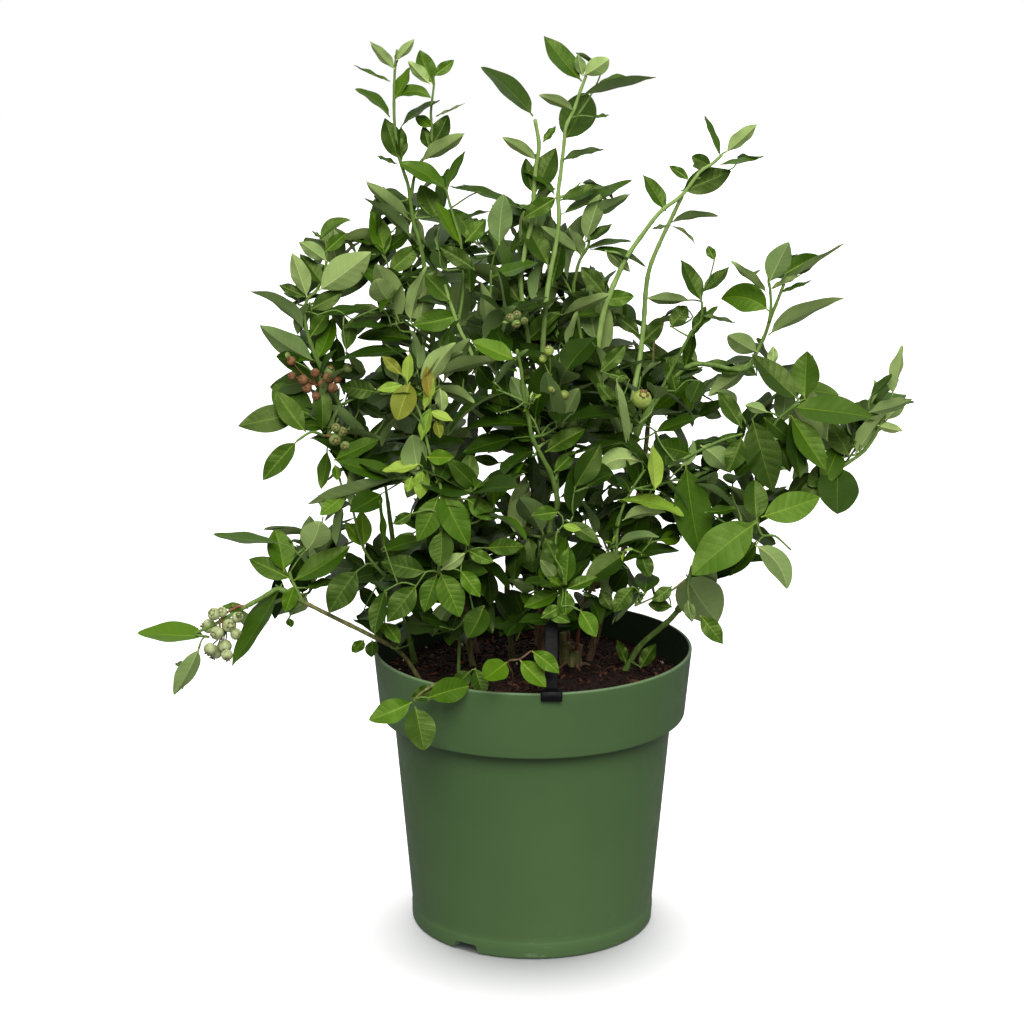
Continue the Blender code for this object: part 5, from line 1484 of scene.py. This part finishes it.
seeded = {mass: [] for mass in MASSES}
for order, (mass, (centre, half, lean, swing, shoots)) in enumerate(MASSES.items()):
    gen = np.random.default_rng(1000 + order)
    turn = turning(lean, swing)
    centre = np.array(centre)
    small = "tip" in mass or "spire" in mass
    front_mass = centre[1] < 0.03
    for number in range(shoots):
        best = None
        for attempt in range(16):
            direction = unit(gen.normal(0, 1, 3) + np.array((0, 0.12 if front_mass else 0.25, 0.30)))
            target = centre + turn @ (direction * half * gen.uniform(0.55, 0.92))
            points, radii = skeleton_arrays()
            d = points - target
            cost = np.linalg.norm(d, axis=1) + 0.9 * np.maximum(0.0, d[:, 2] + 0.004) + gen.uniform(0, 0.012, len(points))
            cost = np.where(np.linalg.norm(d, axis=1) < 0.022, 1.0, cost)
            k = int(cost.argmin())
            start = points[k]
            span = float(np.linalg.norm(target - start))
            outward = unit(target - centre)
            middle = (start + target) / 2 - np.array((0, 0, 0.10 * span)) + outward * 0.05 * span + gen.normal(0, 0.05 * span, 3)
            end = target + (outward * 0.5 + np.array((0, 0, 0.6))) * 0.012
            path = smooth_path([start, middle, target, end], 0.004)
            if not clear_of_pot(path[len(path) // 4 :]):
                continue
            off, hides = bad_share(path, False)
            score = off * 2.0 + hides * 0.6 + span * 1.2
            if best is None or score < best[0]:
                best = (score, path, radii[k], span)
        if best is None:
            continue
        score, path, radius, span = best
        total = float(np.linalg.norm(np.diff(path, axis=0), axis=1).sum())
        count = int(np.clip(round(total / 0.0088), 5, 14))
        size = gen.uniform(0.031, 0.041) * (0.86 if small else 1.0)
        kept = []
        for leaf in shoot_leaves(path, count, gen, size, 1.0):
            for turn_try in range(5):
                points = outline_points(leaf)
                off, hides = bad_share(points, False)
                if clear_of_pot(points) and off <= 0.12 and hides <= 0.12:
                    kept.append(leaf)
                    break
                # Try the leaf turned a little about the shoot, and smaller.
                way = leaf["tip"] - leaf["foot"]
                push = gen.normal(0, 0.55, 3) * np.linalg.norm(way) + np.array((0, 0.25 if hides > 0.12 else 0.0, 0)) * np.linalg.norm(way)
                way = unit(way + push) * np.linalg.norm(way) * 0.93
                leaf = dict(leaf, tip=leaf["foot"] + way, width=leaf["width"] * 0.94)
        if len(kept) < 2:
            continue
        last = max(int(np.linalg.norm(path - leaf["foot"], axis=1).argmin()) for leaf in kept)
        path = path[: max(3, last + 1)]
        off, hides = bad_share(path, False)
        if off > 0.22:
            continue
        shape = np.linspace(min(0.0012, max(0.0008, radius * 0.75)), 0.0005, len(path))
        tube(TWIGS, path, shape, 7, GREEN if gen.uniform() < 0.85 else PALE)
        remember(path, shape)
        seeded[mass] += kept

# ---------------------------------------------------------------- leaves that close the crown
# Where the crown still shows sky that the photograph doesn't, more leaves grow from the nearest wood.
wanted = inside(OUTLINE)
for cx, cy, rx, ry in GAPS:
    wanted &= ~(((columns_ + 0.5) * CELL - cx) ** 2 / (rx + 2.0) ** 2 + ((rows_ + 0.5) * CELL - cy) ** 2 / (ry + 2.0) ** 2 < 1)
wanted = ~grown(~wanted, 2)
# Low in the crown the leaves that close it stand in front of the canes.
VEIL = [
    (412, 440), (640, 440), (640, 560), (648, 600), (622, 620), (600, 618), (590, 628), (556, 632), (534, 622), (520, 640), (498, 634),
    (478, 622), (470, 645), (440, 640), (424, 630), (412, 642), (392, 648), (384, 640), (372, 600), (392, 560),
]
veil = inside(VEIL)
for cx, cy, rx, ry in GAPS:
    veil &= ~(((columns_ + 0.5) * CELL - cx) ** 2 / (rx + 2.0) ** 2 + ((rows_ + 0.5) * CELL - cy) ** 2 / (ry + 2.0) ** 2 < 1)
allowed |= veil
far_limit = np.full((SIDE, SIDE), float(project(np.array([(0.02, -0.015, 0.27)]))[2][0]))
strip_cells = (np.abs((columns_ + 0.5) * CELL - 551) < 7) & ((rows_ + 0.5) * CELL > 545) & ((rows_ + 0.5) * CELL < 622)
far_limit[strip_cells] = float(project(np.array([(0.012, -0.092, 0.25)]))[2][0])
front_depth = np.full((SIDE, SIDE), np.inf)
every = [leaf for mass in seeded for leaf in seeded[mass]]
for grid in make_leaves(Soup(), pack_leaves(every), False):
    splat(grid)
bare = (wanted | veil) & ~covered & np.where(veil, front_depth > far_limit, ~np.isfinite(front_depth))
gen = np.random.default_rng(77)
closing = 0
start_bare = int(bare.sum())
lattice_s, lattice_c = np.meshgrid(np.linspace(0.08, 0.95, 14), np.linspace(-0.9, 0.9, 9), indexing="ij")
lattice_w = np.sin(math.pi * lattice_s**0.9) ** 0.8 * lattice_c
for step in range(900):
    cells = np.argwhere(bare)
    if len(cells) < 60 or closing >= 560:
        break
    if step % 12 == 0:
        points, radii = skeleton_arrays()
        su, sv, _ = project(points)
    picks = cells[gen.integers(len(cells), size=5)]
    row, column = max(picks, key=lambda c: bare[max(0, c[0] - 5) : c[0] + 6, max(0, c[1] - 5) : c[1] + 6].sum())
    u, v = (column + 0.5) * CELL, (row + 0.5) * CELL
    near = np.hypot(su - u, (sv - v) * 0.9)
    pool = np.argsort(near)[:60]
    best = None
    low = veil[row, column]
    for attempt in range(16):
        q = points[pool[int(gen.integers(len(pool)))]]
        if low:
            strip = 536 < u < 566 and 540 < v < 624
            middle = spot(u + gen.normal(0, 5), v + gen.normal(0, 5), gen.uniform(-0.106, -0.094) if strip else gen.uniform(-0.080, -0.022))
            q = points[int((np.linalg.norm(points - middle, axis=1) + gen.uniform(0, 0.014, len(points))).argmin())]
        else:
            middle = spot(u + gen.normal(0, 5), v + gen.normal(0, 5), q[1] + gen.normal(0.004, 0.012))
        way = unit(unit(middle - q) * 0.9 + gen.normal(0, 0.55, 3))
        size = gen.uniform(0.025, 0.040)
        foot, tip = middle - way * size / 2, middle + way * size / 2
        up = np.array((0, -0.35, 0.75)) + gen.normal(0, 0.35, 3)
        across = unit(np.cross(way, up))
        width = size * gen.uniform(0.42, 0.54)
        grid = foot + way * (lattice_s * size)[..., None] + across * (lattice_w * width / 2)[..., None]
        i, j, depth = cells_of(grid)
        off = (~allowed[i, j]).mean()
        hides = (covered[i, j] & (depth < protected[i, j] - 0.001)).mean()
        flat = np.unique(i[bare[i, j]] * SIDE + j[bare[i, j]]).size
        reach = float(np.linalg.norm(foot - q))
        score = flat - 90 * max(0.0, off - 0.04) - 60 * hides - 500 * reach
        if (best is None or score > best[0]) and off < 0.14 and hides < 0.16 and clear_of_pot(grid):
            best = (score, flat, q, foot, tip, up, width, size)
    if best is None or best[1] < 8:
        bare[row, column] = False
        continue
    _, _, q, foot, tip, up, width, size = best
    # Low leaves in front of the canes draw darker tones: painted shade under the crown, partly older leaves.
    leaf = {
        "foot": foot, "tip": tip, "up": up, "width": width, "bow": gen.uniform(0.02, 0.08), "bend": gen.normal(0, 0.02),
        "fold": gen.uniform(0.06, 0.28), "level": 0.5, "twist": gen.normal(0, 0.25), "wave": gen.uniform(0.0002, 0.0006),
        "phase": gen.uniform(0, 1), "relief": gen.uniform(0.0001, 0.00018), "round": gen.uniform(0, 0.7),
        "top": TONE_SLOT[tone_at((foot + tip) / 2, gen.choice(["d1", "k2", "d3", "d1", "m1"] if low else ["d1", "d2", "d3", "m1", "m2"]), gen)],
        "under": TONE_SLOT[str(gen.choice(["u1", "u2", "u3"]))],
    }
    middle = (foot + tip) / 2
    seeded[min((m for m in MASSES if m != "drape_front"), key=lambda m: how_deep(middle, m))].append(leaf)
    front_depth[:] = np.inf
    for grid in make_leaves(Soup(), pack_leaves([leaf]), False):
        splat(grid)
    bare &= ~np.isfinite(front_depth)
    span = float(np.linalg.norm(foot - q))
    if span > 0.002:
        path = smooth_path([q, (q + foot) / 2 - unit(tip - foot) * 0.12 * span, foot + unit(tip - foot) * 0.0006], 0.003)
        shape = np.linspace(0.0007, 0.00045, len(path))
        tube(TWIGS, path, shape, 5, GREEN)
        remember(path[len(path) // 2 :], shape[len(path) // 2 :])
    closing += 1
print("closing leaves", closing, "bare cells", start_bare, "then", int(bare.sum()))

# ---------------------------------------------------------------- tufts of very small leaves
gen = np.random.default_rng(61)
for u0, v0, wide, tall, depth, count in ((600, 566, 15, 13, -0.066, 64), (612, 545, 8, 9, -0.064, 18), (514, 321, 9, 8, -0.044, 22), (530, 404, 8, 10, -0.070, 16), (590, 596, 9, 8, -0.052, 16), (236, 612, 7, 5, -0.046, 8)):
    points, _ = skeleton_arrays()
    hub = spot(u0, v0 + tall * 0.5, depth + 0.004)
    start = points[int(np.linalg.norm(points - hub, axis=1).argmin())]
    for fan in range(4):
        end = spot(u0 + gen.normal(0, wide * 0.45), v0 + gen.normal(0, tall * 0.45), depth + gen.normal(0, 0.003))
        path = smooth_path([start, (start + end) / 2 + gen.normal(0, 0.0012, 3), end], 0.002)
        tube(TWIGS, path, np.linspace(0.0007, 0.0004, len(path)), 5, GREEN)
        for _ in range(count // 4):
            foot = path[int(gen.integers(len(path) // 3, len(path)))] + gen.normal(0, 0.0006, 3)
            size = gen.uniform(0.0028, 0.0062)
            way = unit(gen.normal(0, 1, 3) + (0, -0.3, 0.5))
            seeded["low_front" if v0 > 500 else ("low_left_tip" if u0 < 300 else "crown_front_right")].append(
                {
                    "foot": foot, "tip": foot + way * size, "up": np.array((0, -0.5, 0.8)) + gen.normal(0, 0.4, 3), "width": size * gen.uniform(0.38, 0.6),
                    "bow": gen.uniform(0.0, 0.1), "bend": 0.0, "fold": gen.uniform(0.1, 0.4), "level": 0.5, "twist": 0.0, "wave": 0.0, "phase": 0.0,
                    "relief": 0.00004, "round": gen.uniform(0, 0.7), "top": TONE_SLOT[str(gen.choice(["b1", "b2", "y1", "g1", "m2"]))], "under": TONE_SLOT["u2"],
                }
            )

# ---------------------------------------------------------------- leaves into pieces
hero_mass = {mass: [] for mass in MASSES}
for leaf in hero_leaves:
    middle = (leaf["foot"] + leaf["tip"]) / 2
    hero_mass[min(MASSES, key=lambda m: how_deep(middle, m))].append(leaf)
total_leaves = 0
for mass in MASSES:
    soup = Soup()
    if hero_mass[mass]:
        make_leaves(soup, pack_leaves(hero_mass[mass]), True)
    if seeded[mass]:
        make_leaves(soup, pack_leaves(seeded[mass]), False)
    total_leaves += len(hero_mass[mass]) + len(seeded[mass])
    if soup.count:
        stand_for(soup.build("leaves_" + mass, LEAF_MATERIALS), "leaves", "foliage_" + mass)
    print(mass, len(hero_mass[mass]), len(seeded[mass]))
print("leaves in all", total_leaves)

# ---------------------------------------------------------------- fruit
def berry_material(name, stops, rough=(0.42, 0.6)):
    n = Nodes(name)
    n.link(n.blend(n.spread(n.noise(260.0, 3.0), 0.3, 0.7), stops), n.shader.inputs["Base Color"])
    n.link(n.spread(n.noise(500.0, 2.0), 0.3, 0.7, *rough), n.shader.inputs["Roughness"])
    n.link(n.bump(n.noise(1500.0, 2.0), 0.00005, 0.5), n.shader.inputs["Normal"])
    n.set(Specular_IOR_Level=0.35)
    return n.mat


FRUIT = [  # skins and calyxes
    berry_material("berry pale green", [(0.0, linear(134, 146, 96)), (0.6, linear(168, 178, 126)), (1.0, linear(194, 202, 160))]),
    berry_material("berry green", [(0.0, linear(92, 112, 52)), (1.0, linear(124, 142, 76))]),
    berry_material("calyx brown", [(0.0, linear(92, 60, 34)), (1.0, linear(136, 96, 60))], (0.6, 0.8)),
    berry_material("calyx green", [(0.0, linear(112, 112, 70)), (1.0, linear(150, 146, 100))], (0.5, 0.7)),
    berry_material("berry yellow green", [(0.0, linear(122, 140, 58)), (0.6, linear(144, 162, 74)), (1.0, linear(168, 182, 102))]),
]


def add_berry(soup, centre, radius, axis, skin, crown, gen):
    """A round fruit, slightly flattened, with a five-pointed calyx crown round a sunken end."""
    axis = unit(axis)
    helper = np.array((0, 0, 1.0)) if abs(axis[2]) < 0.9 else np.array((1.0, 0, 0))
    a = unit(np.cross(axis, helper))
    b = np.cross(axis, a)
    around, rings = 20, 11
    turn = np.arange(around) * math.tau / around
    points = []
    for k in range(1, rings):
        polar = math.pi * k / rings
        rise = math.cos(polar) * 0.92
        if polar < 0.5:
            rise -= 0.16 * (1 - polar / 0.5)
        points.append(centre + radius * (axis * rise + math.sin(polar) * (np.cos(turn)[:, None] * a + np.sin(turn)[:, None] * b)))
    points = np.vstack([*points, [centre + axis * radius * 0.74], [centre - axis * radius * 0.92]])
    i, j = np.meshgrid(np.arange(rings - 2), np.arange(around), indexing="ij")
    k = (j + 1) % around
    quads = np.stack([i * around + j, (i + 1) * around + j, (i + 1) * around + k, i * around + k], -1).reshape(-1, 4)
    j = np.arange(around)
    k = (j + 1) % around
    n = (rings - 1) * around
    tris = np.concatenate([np.stack([np.full(around, n), j, k], -1), np.stack([np.full(around, n + 1), (rings - 2) * around + k, (rings - 2) * around + j], -1)])
    soup.add(points, quads, skin, tris, skin)
    for point in range(5):
        t = point * math.tau / 5 + gen.uniform(0, 0.3)
        way = math.cos(t) * a + math.sin(t) * b
        side = -math.sin(t) * a + math.cos(t) * b
        base = centre + axis * radius * 0.84 + way * radius * 0.26
        out = centre + axis * radius * 1.10 + way * radius * 0.60
        w = radius * 0.20
        thick = axis * radius * 0.07
        lobe = np.array([base - side * w, base + side * w, (base + out) / 2 + side * w * 0.9, out, (base + out) / 2 - side * w * 0.9])
        lobe = np.vstack([lobe, lobe - thick - way * radius * 0.05])
        soup.add(lobe, [[0, 1, 6, 5], [1, 2, 7, 6], [2, 3, 8, 7], [3, 4, 9, 8], [4, 0, 5, 9]], crown, [[0, 2, 1], [0, 3, 2], [0, 4, 3], [5, 6, 7], [5, 7, 8], [5, 8, 9]], crown)


fruit = Soup()
gen = np.random.default_rng(52)
for berries, depth, knot, skin, crown in CLUSTERS:
    hub = spot(*knot, depth + 0.006)
    u_knot = knot[0]
    points, _ = skeleton_arrays()
    d = points - hub
    start = points[int((np.linalg.norm(d, axis=1) + 0.3 * np.maximum(0, d[:, 2])).argmin())]
    middle = (start + hub) / 2 + np.array((0, 0, 0.1 * np.linalg.norm(start - hub)))
    path = smooth_path([start, middle, hub], 0.003)
    tube(TWIGS, path, np.linspace(0.0010, 0.0008, len(path)), 6, RED if skin == 1 and u_knot < 500 else GREEN)
    for u, v, r in berries:
        centre = spot(u, v, depth + gen.normal(0, 0.004))
        radius = r * 0.000693
        axis = unit(centre - hub + np.array((0, -0.012 if skin != 4 else -0.0025, 0.0)) + gen.normal(0, 0.003, 3))
        add_berry(fruit, centre, radius, axis, skin, crown, gen)
        foot = centre - axis * radius * 0.9
        path = smooth_path([hub, (hub + foot) / 2 + gen.normal(0, 0.0008, 3), foot], 0.002)
        tube(TWIGS, path, 0.00055, 5, GREEN)
# Withered flower ends: small brown stars on thin stalks among the leaves at the left.
for u, v in ((291, 361), (292, 376), (315, 373), (328, 378), (337, 379), (307, 388), (316, 396), (322, 384), (303, 380), (333, 388)):
    centre = spot(u, v, -0.024 + gen.normal(0, 0.004))
    hub = spot(318, 386, -0.016)
    axis = unit(centre - hub + np.array((0, -0.006, 0.001)))
    add_berry(fruit, centre, gen.uniform(0.0028, 0.0038), axis, 2, 2, gen)
    path = smooth_path([hub, (hub + centre) / 2 + gen.normal(0, 0.0008, 3), centre - axis * 0.0017], 0.002)
    tube(TWIGS, path, 0.00045, 5, RED)
stand_for(fruit.build("berries", FRUIT), "leaves")
stand_for(TWIGS.build("twigs", WOOD), "green_shoots")

# ---------------------------------------------------------------- floor and light
floor_mesh = bpy.data.meshes.new("floor")
bm = bmesh.new()
bmesh.ops.create_grid(bm, x_segments=2, y_segments=2, size=6.0)
bm.to_mesh(floor_mesh)
bm.free()
floor = bpy.data.objects.new("floor", floor_mesh)
floor.location = (0, 0, -0.0004)
bpy.context.scene.collection.objects.link(floor)
n = Nodes("floor white")
n.set(Base_Color=(0.60, 0.60, 0.60, 1.0), Roughness=0.9, Specular_IOR_Level=0.1)
floor_mesh.materials.append(n.mat)
floor.visible_diffuse = False  # the light from below comes from the world, so that it can be set by itself
floor.visible_glossy = False

world = bpy.data.worlds.new("studio")
bpy.context.scene.world = world
world.use_nodes = True
tree = world.node_tree
around = tree.nodes["Background"]
direction = tree.nodes.new("ShaderNodeTexCoord")
axes = tree.nodes.new("ShaderNodeSeparateXYZ")
tree.links.new(direction.outputs["Generated"], axes.inputs[0])
height = tree.nodes.new("ShaderNodeMapRange")  # bright overhead, darker towards the horizon, some light from the floor
height.inputs["From Min"].default_value = -1.0
height.inputs["From Max"].default_value = 1.0
tree.links.new(axes.outputs["Z"], height.inputs["Value"])
sky = tree.nodes.new("ShaderNodeValToRGB")
bar = sky.color_ramp
STOPS = [(0.0, 0.30), (0.46, 0.20), (0.53, 0.16), (0.65, 0.30), (0.80, 0.64), (1.0, 0.76)]
while len(bar.elements) < len(STOPS):
    bar.elements.new(0.5)
for element, (place, level) in zip(bar.elements, STOPS):
    element.position = place
    element.color = (level, level, level, 1.0)
tree.links.new(height.outputs["Result"], sky.inputs["Fac"])
tree.links.new(sky.outputs["Color"], around.inputs["Color"])
around.inputs["Strength"].default_value = 1.35
behind = tree.nodes.new("ShaderNodeBackground")  # the white that the object stands in front of
behind.inputs["Color"].default_value = (1.0, 1.0, 1.0, 1.0)
behind.inputs["Strength"].default_value = 1.0
ray = tree.nodes.new("ShaderNodeLightPath")
either = tree.nodes.new("ShaderNodeMixShader")
tree.links.new(ray.outputs["Is Camera Ray"], either.inputs["Fac"])
tree.links.new(around.outputs[0], either.inputs[1])
tree.links.new(behind.outputs[0], either.inputs[2])
tree.links.new(either.outputs[0], tree.nodes["World Output"].inputs["Surface"])


def lamp(name, kind, location, target, energy, size=1.0, angle=10.0, colour=(1, 1, 1)):
    data = bpy.data.lights.new(name, kind)
    data.energy = energy
    data.color = colour
    if kind == "AREA":
        data.shape = "DISK"
        data.size = size
    else:
        data.angle = math.radians(angle)
    obj = bpy.data.objects.new(name, data)
    bpy.context.scene.collection.objects.link(obj)
    away = unit(np.array(target) - np.array(location))
    obj.location = location
    obj.rotation_euler = (math.acos(-away[2]), 0.0, math.atan2(away[1], away[0]) - math.pi / 2)
    return obj


key = lamp("key", "SUN", (0.10, -1.30, 1.50), (0, 0, 0.3), 3.0, angle=34.0, colour=(1.0, 0.985, 0.95))
over = lamp("floor light", "SUN", (0.0, 0.55, 2.2), (0, 0, 0), 6.2, angle=55.0)
lit = bpy.data.collections.new("object side")
ground = bpy.data.collections.new("floor side")
blocks = bpy.data.collections.new("what shades the floor")
for obj in bpy.context.scene.objects:
    if obj.type == "MESH" and obj is not floor:
        lit.objects.link(obj)
ground.objects.link(floor)
blocks.objects.link(pot)
blocks.objects.link(mix)
key.light_linking.receiver_collection = lit
over.light_linking.receiver_collection = ground
over.light_linking.blocker_collection = blocks
scene = bpy.context.scene
scene.view_settings.view_transform = "Standard"
scene.view_settings.look = "None"
scene.view_settings.exposure = 0.0
scene.view_settings.gamma = 1.0

bpy.context.view_layer.update()
